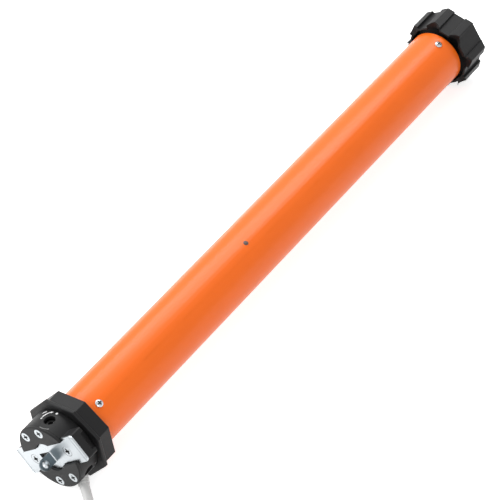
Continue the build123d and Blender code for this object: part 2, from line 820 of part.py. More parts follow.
lay_circle = fine_module * (fine_pinion_teeth + fine_wheel_teeth) / 2
first_pair = fine_module * (limit_pinion_teeth + fine_wheel_teeth) / 2
lay_angle = limit_pinion_angle - degrees(
    acos((lay_circle**2 + limit_circle**2 - first_pair**2) / (2 * lay_circle * limit_circle))
)
pinion_place = across(0, 0, limit_circle, limit_pinion_angle).origin
lay_place = across(0, 0, lay_circle, lay_angle).origin
first_direction = degrees(atan2(lay_place.Z - pinion_place.Z, lay_place.Y - pinion_place.Y))
frame_inside = limit_unit_start + limit_plate_thickness
rear_plate = limit_unit_end - limit_plate_thickness
rear_pinion_start = frame_inside + limit_gap
first_start = rear_pinion_start + limit_gap
second_start = first_start + wheel_face + limit_gap
third_start = first_start + wheel_face + pinion_face + limit_gap

with BuildPart() as limit_pinion:
    shaft = across(limit_shaft_start, 0, limit_circle, limit_pinion_angle)
    round_bar(shaft, limit_shaft_radius, rear_pinion_start + pinion_face - limit_shaft_start)
    front_pinion = across(crown_land_end + limit_gap, 0, limit_circle, limit_pinion_angle)
    front_face = core_plug_start - crown_land_end - 2 * limit_gap
    gear(front_pinion, limit_pinion_teeth, coarse_module, front_face, limit_pinion_angle)
    rear_pinion = across(rear_pinion_start, 0, limit_circle, limit_pinion_angle)
    gear(rear_pinion, limit_pinion_teeth, fine_module, pinion_face, first_direction)
limit_pinion.part.label = "limit_pinion"
export_step(limit_pinion.part, "parts/limit_pinion.step")

switch_stations = [start + cam_wheel_face + cam_lobe_face / 2 for start in cam_stations]
switch_front = switch_stations[0] - switch_thickness / 2

with BuildPart() as limit_frame:
    for station in (limit_unit_start, rear_plate):
        round_bar(across(station), insert_radius, limit_plate_thickness)
        notch_floor = wire_circle - core_radius - wire_clearance
        block(
            across(station, wire_angle), insert_radius, 2 * wire_slot_half, limit_plate_thickness,
            x=notch_floor + insert_radius / 2, mode=Mode.SUBTRACT,
        )
    for radius, angle in ((0, 0), (lay_circle, lay_angle)):
        pin = across(limit_unit_start, 0, radius, angle)
        round_bar(pin, limit_shaft_radius, limit_unit_end - limit_unit_start)
    for angle in pillar_angles:
        pillar = across(limit_unit_start, 0, pillar_circle, angle)
        round_bar(pillar, pillar_radius, limit_unit_end - limit_unit_start)
    for side in plate_sides:
        round_bar(
            across(switch_front), switch_pin_radius, rear_plate - switch_front,
            x=switch_pin_reach, y=side * switch_pin_side,
        )
    shaft_hole = across(limit_unit_start, 0, limit_circle, limit_pinion_angle)
    round_bar(shaft_hole, limit_shaft_radius + running_gap, limit_plate_thickness, mode=Mode.SUBTRACT)
limit_frame.part.label = "limit_frame"
export_step(limit_frame.part, "parts/limit_frame.step")

with BuildPart() as first_counter_wheel:
    first_turn = facing_space(first_direction, fine_wheel_teeth)
    counter_wheel(lay_circle, lay_angle, first_start, first_turn, lay_angle + 180, pinion_face)
first_counter_wheel.part.label = "first_counter_wheel"
export_step(first_counter_wheel.part, "parts/first_counter_wheel.step")

with BuildPart() as second_counter_wheel:
    second_turn = facing_space(lay_angle + 180, fine_wheel_teeth)
    counter_wheel(0, 0, second_start, second_turn, lay_angle, pinion_face)
second_counter_wheel.part.label = "second_counter_wheel"
export_step(second_counter_wheel.part, "parts/second_counter_wheel.step")

with BuildPart() as third_counter_wheel:
    third_turn = facing_space(lay_angle, fine_wheel_teeth)
    long_pinion = rear_plate - limit_gap - third_start - wheel_face
    counter_wheel(lay_circle, lay_angle, third_start, third_turn, lay_angle + 180, long_pinion)
third_counter_wheel.part.label = "third_counter_wheel"
export_step(third_counter_wheel.part, "parts/third_counter_wheel.step")

for name, start, lobe_angle in zip(("up_cam", "down_cam"), cam_stations, cam_lobe_angles):
    with BuildPart() as cam:
        limit_cam(start, lobe_angle)
    cam.part.label = name
    export_step(cam.part, f"parts/{name}.step")

with BuildPart() as limit_switches:
    for station in switch_stations:
        body = outward(station, 0, switch_inner)
        block(body, switch_thickness, switch_width, switch_outer - switch_inner)
        pocket_depth = plunger_seat + plunger_travel + face_gap
        pocket_width = plunger_width + 2 * seat_gap
        block(body, pocket_width, pocket_width, pocket_depth, mode=Mode.SUBTRACT)
    for side in plate_sides:
        round_bar(
            across(switch_front), switch_pin_radius + running_gap, rear_plate - switch_front,
            x=switch_pin_reach, y=side * switch_pin_side, mode=Mode.SUBTRACT,
        )
limit_switches.part.label = "limit_switches"
export_step(limit_switches.part, "parts/limit_switches.step")

for name, station in zip(("up_plunger", "down_plunger"), switch_stations):
    with BuildPart() as plunger:
        plunger_tip = cam_lobe_radius + plunger_clearance
        plunger_length = switch_inner + plunger_seat - plunger_tip
        block(outward(station, 0, plunger_tip), plunger_width, plunger_width, plunger_length)
    plunger.part.label = name
    export_step(plunger.part, f"parts/{name}.step")

# Motor tube with its screws and rivets

tube_screw_seats = [
    outward(station, angle + side, tube_radius)
    for station, angle in ((front_screw_station, front_screw_angle), (rear_screw_station, rear_screw_angle))
    for side in (0, 180)
]
rivet_seats = [outward(rivet_station, rivet_angle + side, tube_radius) for side in (0, 180)]

with BuildPart() as motor_tube:
    round_bar(across(tube_start), tube_radius, tube_end - tube_start, bore=tube_radius - tube_wall)
    for seat in tube_screw_seats:
        hole_depth = -2 * tube_wall
        round_bar(seat, tube_screw_diameter / 2 + running_gap, hole_depth, mode=Mode.SUBTRACT)
    for seat in rivet_seats:
        round_bar(seat, rivet_diameter / 2 + running_gap, -2 * tube_wall, mode=Mode.SUBTRACT)
motor_tube.part.label = "motor_tube"
export_step(motor_tube.part, "parts/motor_tube.step")

with BuildPart() as tube_screws:
    for seat in tube_screw_seats:
        domed_head(seat, tube_screw_head / 2, tube_screw_head_height)
        round_bar(seat, tube_screw_diameter / 2, -tube_screw_length)
        cross_recess(seat.offset(tube_screw_head_height), tube_screw_head)
tube_screws.part.label = "tube_screws"
export_step(tube_screws.part, "parts/tube_screws.step")

with BuildPart() as stator_rivets:
    for seat in rivet_seats:
        domed_head(seat, rivet_head / 2, rivet_head_height)
        round_bar(seat, rivet_diameter / 2, -rivet_length)
stator_rivets.part.label = "stator_rivets"
export_step(stator_rivets.part, "parts/stator_rivets.step")

# Terminal board and capacitor

with BuildPart() as terminal_board:
    round_bar(across(board_station), insert_radius, board_thickness)
    block_face = across(board_station + board_thickness, wire_angle)
    block(block_face, terminal_height, terminal_width, terminal_length, x=terminal_offset)
    with BuildSketch(block_face.offset(terminal_length)) as terminals:
        with Locations((terminal_offset, 0)):
            with GridLocations(terminal_height, terminal_width / terminal_count, 1, terminal_count):
                Circle(terminal_hole_radius)
    extrude(amount=-terminal_hole_depth, mode=Mode.SUBTRACT)
terminal_board.part.label = "terminal_board"
export_step(terminal_board.part, "parts/terminal_board.step")

with BuildPart() as capacitor:
    round_bar(across(capacitor_start), capacitor_radius, capacitor_length)
    fillet(capacitor.edges().filter_by(GeomType.CIRCLE), capacitor_edge)
capacitor.part.label = "capacitor"
export_step(capacitor.part, "parts/capacitor.step")

with BuildPart() as capacitor_clamp:
    clamp_start = capacitor_start + (capacitor_length - clamp_length) / 2
    round_bar(across(clamp_start), insert_radius, clamp_length, bore=capacitor_radius + seat_gap)
    block(
        across(clamp_start, wire_angle), insert_radius + cut_over, clamp_slot_width, clamp_length,
        x=(insert_radius + cut_over) / 2, mode=Mode.SUBTRACT,
    )
capacitor_clamp.part.label = "capacitor_clamp"
export_step(capacitor_clamp.part, "parts/capacitor_clamp.step")

# Motor

slot_middle = (slot_inner + slot_outer) / 2
mouth_inner = stator_bore / 2 - slot_liner
rotor_radius = stator_bore / 2 - air_gap

with BuildPart() as front_shield:
    shield(front_shield_start, front_shield_start)
front_shield.part.label = "front_shield"
export_step(front_shield.part, "parts/front_shield.step")

with BuildPart() as rear_shield:
    shield(rear_shield_start, rear_shield_start + shield_thickness - shield_hub_length)
rear_shield.part.label = "rear_shield"
export_step(rear_shield.part, "parts/rear_shield.step")

with BuildPart() as stator_core:
    with BuildSketch(across(stator_start)):
        Circle(insert_radius)
        Circle(stator_bore / 2, mode=Mode.SUBTRACT)
        with PolarLocations(slot_middle, slot_count):
            Rectangle(slot_outer - slot_inner, slot_width, mode=Mode.SUBTRACT)
        with PolarLocations((mouth_inner + slot_inner) / 2, slot_count):
            Rectangle(slot_inner - mouth_inner + slot_liner, slot_mouth, mode=Mode.SUBTRACT)
    extrude(amount=stator_length)
    for seat in rivet_seats:
        round_bar(seat, rivet_diameter / 2 + running_gap, -rivet_length - running_gap, mode=Mode.SUBTRACT)
stator_core.part.label = "stator_core"
export_step(stator_core.part, "parts/stator_core.step")

with BuildPart() as windings:
    with BuildSketch(across(stator_start - slot_liner)):
        with PolarLocations(slot_middle, slot_count):
            Rectangle(slot_outer - slot_inner - 2 * slot_liner, slot_width - 2 * slot_liner)
    extrude(amount=stator_length + 2 * slot_liner)
    for start in (stator_start - slot_liner - end_turn_length, stator_end + slot_liner):
        round_bar(across(start), end_turn_outer, end_turn_length, bore=slot_inner)
windings.part.label = "windings"
export_step(windings.part, "parts/windings.step")

with BuildPart() as rotor_core:
    round_bar(across(stator_start), rotor_radius, stator_length)
    rotor_start = stator_start - rotor_cap_length
    rotor_length = stator_length + 2 * rotor_cap_length
    round_bar(across(rotor_start), rotor_cap_radius, rotor_length)
    round_bar(across(rotor_start), shaft_radius + running_gap, rotor_length, mode=Mode.SUBTRACT)
rotor_core.part.label = "rotor_core"
export_step(rotor_core.part, "parts/rotor_core.step")

# Holding brake

pin_angles = [pin * 360 / guide_pin_count for pin in range(guide_pin_count)]

with BuildPart() as brake_magnet:
    round_bar(across(magnet_start), insert_radius, magnet_length)
    round_bar(across(magnet_start), magnet_bore_radius, magnet_length, mode=Mode.SUBTRACT)
    pocket = across(magnet_end - spring_pocket_depth)
    round_bar(pocket, spring_pocket_radius, spring_pocket_depth, mode=Mode.SUBTRACT)
    coil_face = across(magnet_end - magnet_coil_depth)
    round_bar(
        coil_face, magnet_coil_outer, magnet_coil_depth, bore=magnet_coil_inner, mode=Mode.SUBTRACT
    )
    for angle in pin_angles:
        round_bar(across(magnet_end, 0, guide_pin_circle, angle), guide_pin_radius, guide_pin_length)
brake_magnet.part.label = "brake_magnet"
export_step(brake_magnet.part, "parts/brake_magnet.step")

with BuildPart() as brake_spring:
    spring_seat = magnet_end - spring_pocket_depth + running_gap - middle
    with BuildSketch(Plane.XY.offset(axis_height)):
        with BuildLine():
            Polyline(
                (spring_seat, spring_outer),
                (spring_seat + spring_thickness, spring_outer),
                (spring_seat + spring_thickness + spring_rise, spring_inner),
                (spring_seat + spring_rise, spring_inner),
                close=True,
            )
        make_face()
    revolve(axis=Axis((0, 0, axis_height), (1, 0, 0)))
brake_spring.part.label = "brake_spring"
export_step(brake_spring.part, "parts/brake_spring.step")

with BuildPart() as brake_armature:
    round_bar(across(armature_start), armature_radius, armature_thickness, bore=armature_bore_radius)
    for angle in pin_angles:
        hole = across(armature_start, 0, guide_pin_circle, angle)
        round_bar(hole, guide_pin_radius + seat_gap, armature_thickness, mode=Mode.SUBTRACT)
brake_armature.part.label = "brake_armature"
export_step(brake_armature.part, "parts/brake_armature.step")

with BuildPart() as brake_disc:
    bore = shaft_radius + running_gap
    round_bar(across(brake_disc_start), brake_disc_radius, brake_disc_thickness, bore=bore)
brake_disc.part.label = "brake_disc"
export_step(brake_disc.part, "parts/brake_disc.step")

# Gearbox

planet_circle = coarse_module * (sun_teeth + planet_teeth) / 2

with BuildPart() as motor_shaft:
    sun_start = gearbox_start + flange_thickness
    round_bar(across(shaft_start), shaft_radius, sun_start - shaft_start)
    gear(across(sun_start), sun_teeth, coarse_module, stage_gap + stage_faces[0])
motor_shaft.part.label = "motor_shaft"
export_step(motor_shaft.part, "parts/motor_shaft.step")

with BuildPart() as gearbox_housing:
    round_bar(across(gearbox_start), insert_radius, gearbox_end - gearbox_start)
    round_bar(across(gearbox_start), shaft_radius + running_gap, flange_thickness, mode=Mode.SUBTRACT)
    ring_start = gearbox_start + flange_thickness
    toothed_hole(across(ring_start), ring_teeth, coarse_module, gearbox_end - ring_start)
gearbox_housing.part.label = "gearbox_housing"
export_step(gearbox_housing.part, "parts/gearbox_housing.step")

stage_names = ("first", "second", "third")
for stage_name, (start, face) in zip(stage_names, stages):
    for planet in range(planet_count):
        with BuildPart() as planet_gear:
            planet_wheel(start, face, planet * 360 / planet_count)
        name = f"{stage_name}_stage_planet_{planet + 1}"
        planet_gear.part.label = name
        export_step(planet_gear.part, f"parts/{name}.step")

for stage in (0, 1):
    start, face = stages[stage]
    with BuildPart() as carrier:
        carrier_disc(start, face)
        disc_end = start + face + stage_gap + carrier_thickness
        gear(across(disc_end), sun_teeth, coarse_module, stage_gap + stage_faces[stage + 1])
    name = f"{stage_names[stage]}_stage_carrier"
    carrier.part.label = name
    export_step(carrier.part, f"parts/{name}.step")

wheel_shoulder = wheel_hub_start - limit_gap

with BuildPart() as output_shaft:
    start, face = stages[2]
    carrier_disc(start, face)
    disc_end = start + face + stage_gap + carrier_thickness
    round_bar(across(disc_end), output_shaft_radius, wheel_shoulder - disc_end)
    with BuildSketch(across(wheel_shoulder)):
        Circle(wheel_shaft_radius)
        Rectangle(2 * wheel_shaft_radius, wheel_shaft_flats, mode=Mode.INTERSECT)
    extrude(amount=shaft_tip - wheel_shoulder)
    round_bar(
        across(clip_start - running_gap), wheel_shaft_radius + cut_over, clip_thickness + 2 * running_gap,
        bore=wheel_shaft_radius - clip_groove_depth, mode=Mode.SUBTRACT,
    )
output_shaft.part.label = "output_shaft"
export_step(output_shaft.part, "parts/output_shaft.step")

with BuildPart() as output_housing:
    land_bore = output_shaft_radius + running_gap
    round_bar(across(output_housing_start), insert_radius, output_housing_length, bore=land_bore)
    hollow_start = output_housing_start + output_land_length
    hollow_length = output_housing_end - output_land_length - hollow_start
    round_bar(across(hollow_start), output_bore_radius, hollow_length, mode=Mode.SUBTRACT)
    for side in (0, 180):
        seat = outward(rear_screw_station, rear_screw_angle + side, insert_radius)
        hole_depth = tube_screw_length - tube_wall
        round_bar(seat, tube_screw_diameter / 2 + running_gap, -hole_depth, mode=Mode.SUBTRACT)
output_housing.part.label = "output_housing"
export_step(output_housing.part, "parts/output_housing.step")

# Drive wheel and its clip

wheel_inner_radius = wheel_flats / 2 - wheel_wall
web_end = wheel_web_start + wheel_web_thickness

with BuildPart() as drive_wheel:
    with BuildSketch(across(wheel_start, wheel_corner)):
        RegularPolygon(wheel_flats / 2, octagon_sides, major_radius=False)
    extrude(amount=wheel_end - wheel_start)
    chamfer(drive_wheel.faces().sort_by(Axis.X)[-1].edges(), wheel_edge)
    round_bar(across(wheel_start), wheel_inner_radius, wheel_web_start - wheel_start, mode=Mode.SUBTRACT)
    round_bar(across(web_end), wheel_inner_radius, wheel_end - web_end, mode=Mode.SUBTRACT)
    for side in range(octagon_sides):
        corner = wheel_corner + side * side_angle
        is_seam = side in seam_sides
        depth = seam_groove_depth if is_seam else groove_depth
        width = seam_groove_width if is_seam else groove_width
        offset_here = seam_groove_offset if is_seam else groove_offset
        flat = outward((wheel_start + wheel_end) / 2, corner + side_angle / 2, wheel_flats / 2 - depth)
        block(flat, wheel_end - wheel_start, width, wheel_wall, y=offset_here, mode=Mode.SUBTRACT)
        scallop = outward(wheel_start - scallop_setback, corner, wheel_inner_radius - wheel_wall)
        round_bar(scallop, scallop_radius, wheel_flats / 2, mode=Mode.SUBTRACT)
        rib_length = wheel_inner_radius - wheel_hub_radius + wheel_wall
        block(
            across(web_end, corner), rib_length, wheel_rib_thickness, wheel_end - wheel_rib_setback - web_end,
            x=wheel_inner_radius + wheel_wall / 2 - rib_length / 2,
        )
    round_bar(across(wheel_hub_start), wheel_hub_radius, wheel_hub_end - wheel_hub_start)
    with BuildSketch(across(wheel_hub_start)):
        Circle(wheel_shaft_radius + running_gap)
        Rectangle(
            2 * (wheel_shaft_radius + running_gap), wheel_shaft_flats + 2 * running_gap, mode=Mode.INTERSECT
        )
    extrude(amount=wheel_end - wheel_hub_start, mode=Mode.SUBTRACT)
drive_wheel.part.label = "drive_wheel"
export_step(drive_wheel.part, "parts/drive_wheel.step")

with BuildPart() as wheel_clip:
    clip_bore = wheel_shaft_radius - clip_groove_depth + running_gap
    round_bar(across(clip_start), clip_radius, clip_thickness, bore=clip_bore)
    block(across(clip_start), clip_radius + cut_over, clip_opening, clip_thickness,
          x=(clip_radius + cut_over) / 2, mode=Mode.SUBTRACT)
wheel_clip.part.label = "wheel_clip"
export_step(wheel_clip.part, "parts/wheel_clip.step")

# Cable: gland, lead, coil of the unseen length, tail and its stripped cores

gland_tip_radius = cable_radius + running_gap + gland_tip_wall

with BuildPart() as cable_gland:
    round_bar(gland_plane(-gland_depth), gland_radius, gland_depth)
    with BuildSketch(gland_plane(0)) as nose_root:
        Circle(gland_radius)
    with BuildSketch(gland_plane(gland_nose)) as nose_tip:
        Circle(gland_tip_radius)
    loft()
    for place in gland_ring_places:
        ring_radius = gland_radius - (gland_radius - gland_tip_radius) * place / gland_nose
        round_bar(
            gland_plane(place), gland_radius + cut_over, gland_ring_width,
            bore=ring_radius - gland_ring_depth, mode=Mode.SUBTRACT,
        )
    round_bar(
        gland_plane(-gland_depth), cable_radius + running_gap, gland_depth + gland_nose, mode=Mode.SUBTRACT
    )
cable_gland.part.label = "cable_gland"
export_step(cable_gland.part, "parts/cable_gland.step")

lead_start = gland_plane(-gland_depth).origin
lead_bends = route_bends([tuple(gland_plane(gland_nose).origin), *lead_route])

with BuildPart() as cable_lead:
    lead_line = cable_tube([tuple(lead_start), *lead_route], cable_radius, lead_bends)
cable_lead.part.label = "cable_lead"
export_step(cable_lead.part, "parts/cable_lead.step")

coil_start = Vector(*lead_route[-1])
coil_heading = (coil_start - Vector(*lead_route[-2])).normalized()
coil_side = Vector(coil_heading.Y, -coil_heading.X, 0)
coil_steps = range(-coil_half_turns, coil_half_turns)
coil_radii = [coil_inner_radius + coil_turn_step * abs(step) for step in coil_steps]

with BuildPart() as cable_coil:
    with BuildLine() as coil_line:
        point, heading = coil_start + coil_heading * coil_straight, coil_heading
        Line(coil_start, point)
        for half_turn, radius in enumerate(coil_radii):
            inwards = Vector(heading.Y, -heading.X, 0)
            rise = Vector(0, 0, coil_layer_rise) if half_turn == coil_half_turns else Vector(0, 0, 0)
            reach = sqrt(radius**2 + (rise.length / 2) ** 2)
            quarter = point + inwards * radius + heading * reach + rise / 2
            arc = TangentArc(point, quarter, tangent=heading)
            point = point + inwards * radius * 2 + rise
            TangentArc(quarter, point, tangent=arc % 1)
            heading = -heading
        inwards = Vector(heading.Y, -heading.X, 0)
        end_turn = radians(coil_end_turn)
        swing = inwards * (1 - cos(end_turn)) + heading * sin(end_turn)
        arc = TangentArc(point, point + swing * coil_radii[0], tangent=heading)
        coil_end = arc @ 1 + (arc % 1) * coil_straight
        Line(arc @ 1, coil_end)
    with BuildSketch(Plane(origin=coil_start, z_dir=coil_heading)):
        Circle(cable_radius)
    sweep(path=coil_line.wires()[0])
cable_coil.part.label = "cable_coil"
export_step(cable_coil.part, "parts/cable_coil.step")

tail_points = [tuple(coil_end), *tail_route]
tail_bends = route_bends(tail_points)

with BuildPart() as cable_tail:
    tail_line = cable_tube(tail_points, cable_radius, tail_bends)
cable_tail.part.label = "cable_tail"
export_step(cable_tail.part, "parts/cable_tail.step")

tail_end, tail_heading = tail_line @ 1, tail_line % 1
tail_side = Vector(-tail_heading.Y, tail_heading.X, 0).normalized()
tail_up = tail_heading.cross(tail_side)
core_ends = []

with BuildPart() as cable_cores:
    for side in plate_sides:
        for level in plate_sides:
            start = tail_end + tail_heading * core_gap + tail_side * core_offset * side
            start += tail_up * core_offset * level
            points = [tuple(start)]
            for along, upper_side, lower_side, upper_height, lower_height in core_steps:
                sideways = upper_side if level > 0 else lower_side
                height = upper_height if level > 0 else lower_height
                place = tail_end + tail_heading * along + tail_side * side * sideways
                points.append((place.X, place.Y, height))
            line = cable_tube(points, core_radius, core_bend)
            core_ends.append((line @ 1, line % 1))
cable_cores.part.label = "cable_cores"
export_step(cable_cores.part, "parts/cable_cores.step")

with BuildPart() as core_ferrules:
    for end, direction in core_ends:
        round_bar(Plane(origin=end, z_dir=direction), ferrule_diameter / 2, ferrule_length)
core_ferrules.part.label = "core_ferrules"
export_step(core_ferrules.part, "parts/core_ferrules.step")

with BuildPart() as coil_tie:
    inner_turn, outer_turn = coil_inner_radius + coil_turn_step, coil_radii[1]
    inner_reach = sqrt(inner_turn**2 - (tie_width / 2 + coil_turn_step) ** 2) - cable_radius - tie_gap
    outer_reach = outer_turn + cable_radius + tie_gap
    tie_low = coil_start.Z - cable_radius - tie_gap
    tie_high = coil_start.Z + coil_layer_rise + cable_radius + tie_gap
    coil_centre = coil_start + coil_heading * coil_straight + coil_side * coil_radii[0]
    tie_centre = coil_centre - coil_heading * (inner_reach + outer_reach) / 2
    tie_centre.Z = (tie_low + tie_high) / 2
    with BuildSketch(Plane(origin=tie_centre, x_dir=coil_heading, z_dir=coil_side)):
        length, height = outer_reach - inner_reach, tie_high - tie_low
        corner = cable_radius + tie_gap
        RectangleRounded(length + 2 * tie_thickness, height + 2 * tie_thickness, corner + tie_thickness)
        RectangleRounded(length, height, corner, mode=Mode.SUBTRACT)
    extrude(amount=tie_width / 2, both=True)
coil_tie.part.label = "coil_tie"
export_step(coil_tie.part, "parts/coil_tie.step")

# Internal wires

bundle = gland_plane(-gland_depth - seat_gap)

with BuildPart() as internal_wires:
    for wire in range(4):
        upper = -1 if wire in (1, 2) else 1
        right = 1 if wire > 1 else -1
        offset_here = bundle.x_dir * wire_start_offset * upper + bundle.y_dir * wire_start_offset * right
        start = bundle.origin + offset_here
        turn_in = start - gland_out * wire_run_in
        row_angle = wire_angle + wire_step_angle * (wire - 1.5)
        turn_out = across(wire_turn_station, 0, wire_circle, row_angle).origin
        end = across(board_station - seat_gap, 0, wire_circle, row_angle).origin
        cable_tube([tuple(start), tuple(turn_in), tuple(turn_out), tuple(end)], core_radius, wire_bend)
internal_wires.part.label = "internal_wires"
export_step(internal_wires.part, "parts/internal_wires.step")


def least_gap(line, diameter, step=2.5):
    """Least gap of a tube to itself, measured on points along its middle."""
    count = int(line.length / step)
    spots = [line.position_at(k / count) for k in range(count + 1)]
    apart = int(2 * diameter / step) + 1
    return min(
        hypot((a - b).X, (a - b).Y, (a - b).Z)
        for k, a in enumerate(spots)
        for b in spots[k + apart :]
    ) - diameter


coil_wire = coil_line.wires()[0]
print("bend radii, lead:", [round(r, 1) for r in lead_bends], "tail:", [round(r, 1) for r in tail_bends])
print("least gap in the coil:", round(least_gap(coil_wire, cable_diameter), 3))
section = pi * cable_radius**2
for label, line, solid in (
    ("lead", lead_line, cable_lead.part),
    ("coil", coil_wire, cable_coil.part),
    ("tail", tail_line, cable_tail.part),
):
    volume_share = solid.volume / section / line.length
    print(label, "length", round(line.length, 1), "volume share", round(volume_share, 5))
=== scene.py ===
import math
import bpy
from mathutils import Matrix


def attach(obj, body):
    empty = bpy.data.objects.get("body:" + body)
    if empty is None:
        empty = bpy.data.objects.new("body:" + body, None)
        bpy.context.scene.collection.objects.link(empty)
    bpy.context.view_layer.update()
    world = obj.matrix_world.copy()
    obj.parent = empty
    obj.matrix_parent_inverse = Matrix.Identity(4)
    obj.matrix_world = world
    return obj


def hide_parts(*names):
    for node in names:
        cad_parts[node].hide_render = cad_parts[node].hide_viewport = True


bl_info = {
    "name": "Roller blind motor",
    "version": (1, 0, 0),
    "blender": (4, 5, 0),
    "location": "3D View > Sidebar > Blind motor",
    "description": "Dresses the solids of a tubular roller blind motor and sets its stage",
    "category": "Object",
}

import bpy
from mathutils import Matrix, Vector

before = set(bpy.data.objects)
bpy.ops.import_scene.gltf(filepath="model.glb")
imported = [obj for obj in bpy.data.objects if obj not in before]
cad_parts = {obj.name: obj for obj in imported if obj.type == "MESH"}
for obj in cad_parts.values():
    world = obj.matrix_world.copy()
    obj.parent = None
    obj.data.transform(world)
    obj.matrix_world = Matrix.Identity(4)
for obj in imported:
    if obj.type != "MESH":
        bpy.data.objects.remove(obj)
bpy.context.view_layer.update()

# A millimetre in metres; then the height of the motor's axis, the station that stands over the
# frame's origin and the radius of the head, in millimetres
MM = 0.001
AXIS_HEIGHT = 30.65
MIDDLE = 257.15
HEAD_RADIUS = 26.3

# Faces that meet at more than the edge angle keep an edge, which is rounded where asked; points
# nearer than the weld distance, in millimetres, become one
EDGE_ANGLE = math.radians(38.0)
WELD_DISTANCE = 0.002

# Camera, fitted to the photograph: its place and its lens in millimetres, and its axes
CAMERA_PLACE = (-922.41, -829.20, 1059.97)
CAMERA_RIGHT = (0.57376, -0.80583, -0.14644)
CAMERA_UP = (0.59433, 0.28661, 0.75142)
CAMERA_BACK = (-0.56354, -0.51817, 0.64337)
CAMERA_LENS = 156.13

# Stage: the floor's half width in metres, the glow that the camera sees on it, the light that
# the world gives, and each lamp's position and size in metres and power in watts
FLOOR_HALF = 6.0
FLOOR_GLOW = 0.7
WORLD_LIGHT = 0.5
LAMPS = (
    ("top_box", (0.75, 0.45, 1.15), (1.5, 0.55), 13.0),
    ("left_box", (-0.55, 0.95, 0.75), (1.2, 0.5), 9.0),
    ("front_box", (-0.9, -0.75, 0.65), (0.8, 0.6), 4.0),
)

# Mains lead, in millimetres and degrees: the points of its route, and the coil's half turns,
# which run inwards on the floor and back outwards one layer higher
LEAD_EXIT = (-251.7, -20.88, 9.2)
LEAD_ROUTE = (
    (-261.8, -32.9, 3.9),
    (-271.45, -44.4, 3.6),
    (-294.16, -58.63, 4.4),
    (-319.74, -70.02, 4.4),
)
TAIL_ROUTE = ((-401.66, -43.89, 11.9), (-410.3, -27.75, 5.7), (-412.3, -8.6, 3.55))
COIL_STRAIGHT = 7.0
COIL_INNER_RADIUS = 28.5
COIL_TURN_STEP = 3.8
COIL_HALF_TURNS = 6
COIL_END_TURN = 69.0
COIL_END_POINTS = 5
COIL_LAYER_RISE = 7.5
COIL_POINTS = 12
CORD_DIAMETER = 7.0
TIE_EDGE = 0.1
GLAND_EDGE = 0.12

# Stripped cores past the sheath's end, in millimetres: each step's distance along, how far
# aside the upper and the lower pair run, and how high the upper and the lower pair run
CORE_STEPS = (
    (12.0, 3.4, 1.6, 3.6, 1.8),
    (22.0, 6.2, 2.5, 1.8, 1.15),
    (32.0, 9.8, 3.8, 1.2, 1.2),
)
CORE_OFFSET = 1.15
CORE_GAP = 0.4
CORE_RADIUS = 1.0
BROWN = (0.16, 0.05, 0.02)
CORES = (
    (1, 1, "brown", BROWN),
    (1, -1, "black", (0.012, 0.012, 0.012)),
    (-1, 1, "green_yellow", (0.42, 0.5, 0.02)),
    (-1, -1, "blue", (0.02, 0.12, 0.5)),
)

# Mounting plate, in degrees and millimetres: its turn about the axis, the station of its face,
# and how far in front of the face its tab starts, from where the tab takes a painted dark
# reflection
PLATE_ROLL = 145.1
PLATE_FACE = 2.3
TAB_START = 0.8

# Screws, in millimetres and degrees: where they stand, and the diameter and height of their
# heads. The plate's screws are rounded by a multiple of the metal edge
PLATE_SCREW_PLACE = 21.0
PLATE_SCREW_HEAD = 8.0
PLATE_SCREW_EDGES = 2.4
COVER_SCREW_CIRCLE = 21.25
COVER_SCREW_SPREAD = 24.05
COVER_SCREW_HEAD = 7.4
TUBE_RADIUS = 22.5
TUBE_SCREWS = ((44.1, 125.9), (489.8, 114.7))
TUBE_SCREW_HEAD = 5.8
TUBE_SCREW_HEAD_HEIGHT = 1.6

# Painted shade in the drive recesses and painted shadow round the plate's screws, both a dark
# material: radius and greatest depth as shares of the head's diameter, and least depth in
# millimetres below a flat or a round head
RECESS_RADIUS_SHARE = 0.3
RECESS_DEPTH_SHARE = 0.21
FLAT_HEAD_LEAST = 0.06
ROUND_HEAD_LEAST = 0.42
SEAT_RADIUS_SHARE = 0.56
SEAT_DEPTH_SHARE = 0.18
SEAT_LEAST = 0.1

# Key holes of the two adjusting screws, upper and lower
KEY_STATION = 10.2
KEY_ANGLES = (87.5, 202.7)

# Printed marks about a key hole: u along the motor and v round it, in millimetres. An arrow is
# its radius, the degrees where it starts and ends, and the length of its head. Dimmed marks show
# a share of the mark colour; on the lower key hole this dimming is painted shade
MARK_LIFT = 0.04
ARROW = (7.9, -80, -32, 1.9)
FAR_ARROW = (8.2, 196, 150, 1.4)
FAR_ARROW_WIDTH_SHARE = 0.7
ARROW_STEPS = 18
ARROW_HEAD_SHARE = 0.55
MINUS = ((-0.9, -7.6), (0.5, -7.2))
PLUS = (((6.3, 0.6), (8.1, 0.6)), ((7.2, -0.3), (7.2, 1.5)))
WEDGE = ((4.7, -11.4), (5.8, -10.2), (6.8, -8.6))
DIMMED_SHARE = 0.16

# Name, colour and roughness of the finish that the adjusting screws share with the inside
MOULDED_BLACK = ("moulded_black", (0.02, 0.02, 0.02), 0.4)


def place(station, angle, radius):
    """Point at a station along the motor, at an angle from +Y towards +Z, in metres."""
    turn = math.radians(angle)
    return Vector(
        (station - MIDDLE, radius * math.cos(turn), AXIS_HEIGHT + radius * math.sin(turn))
    ) * MM


# Materials


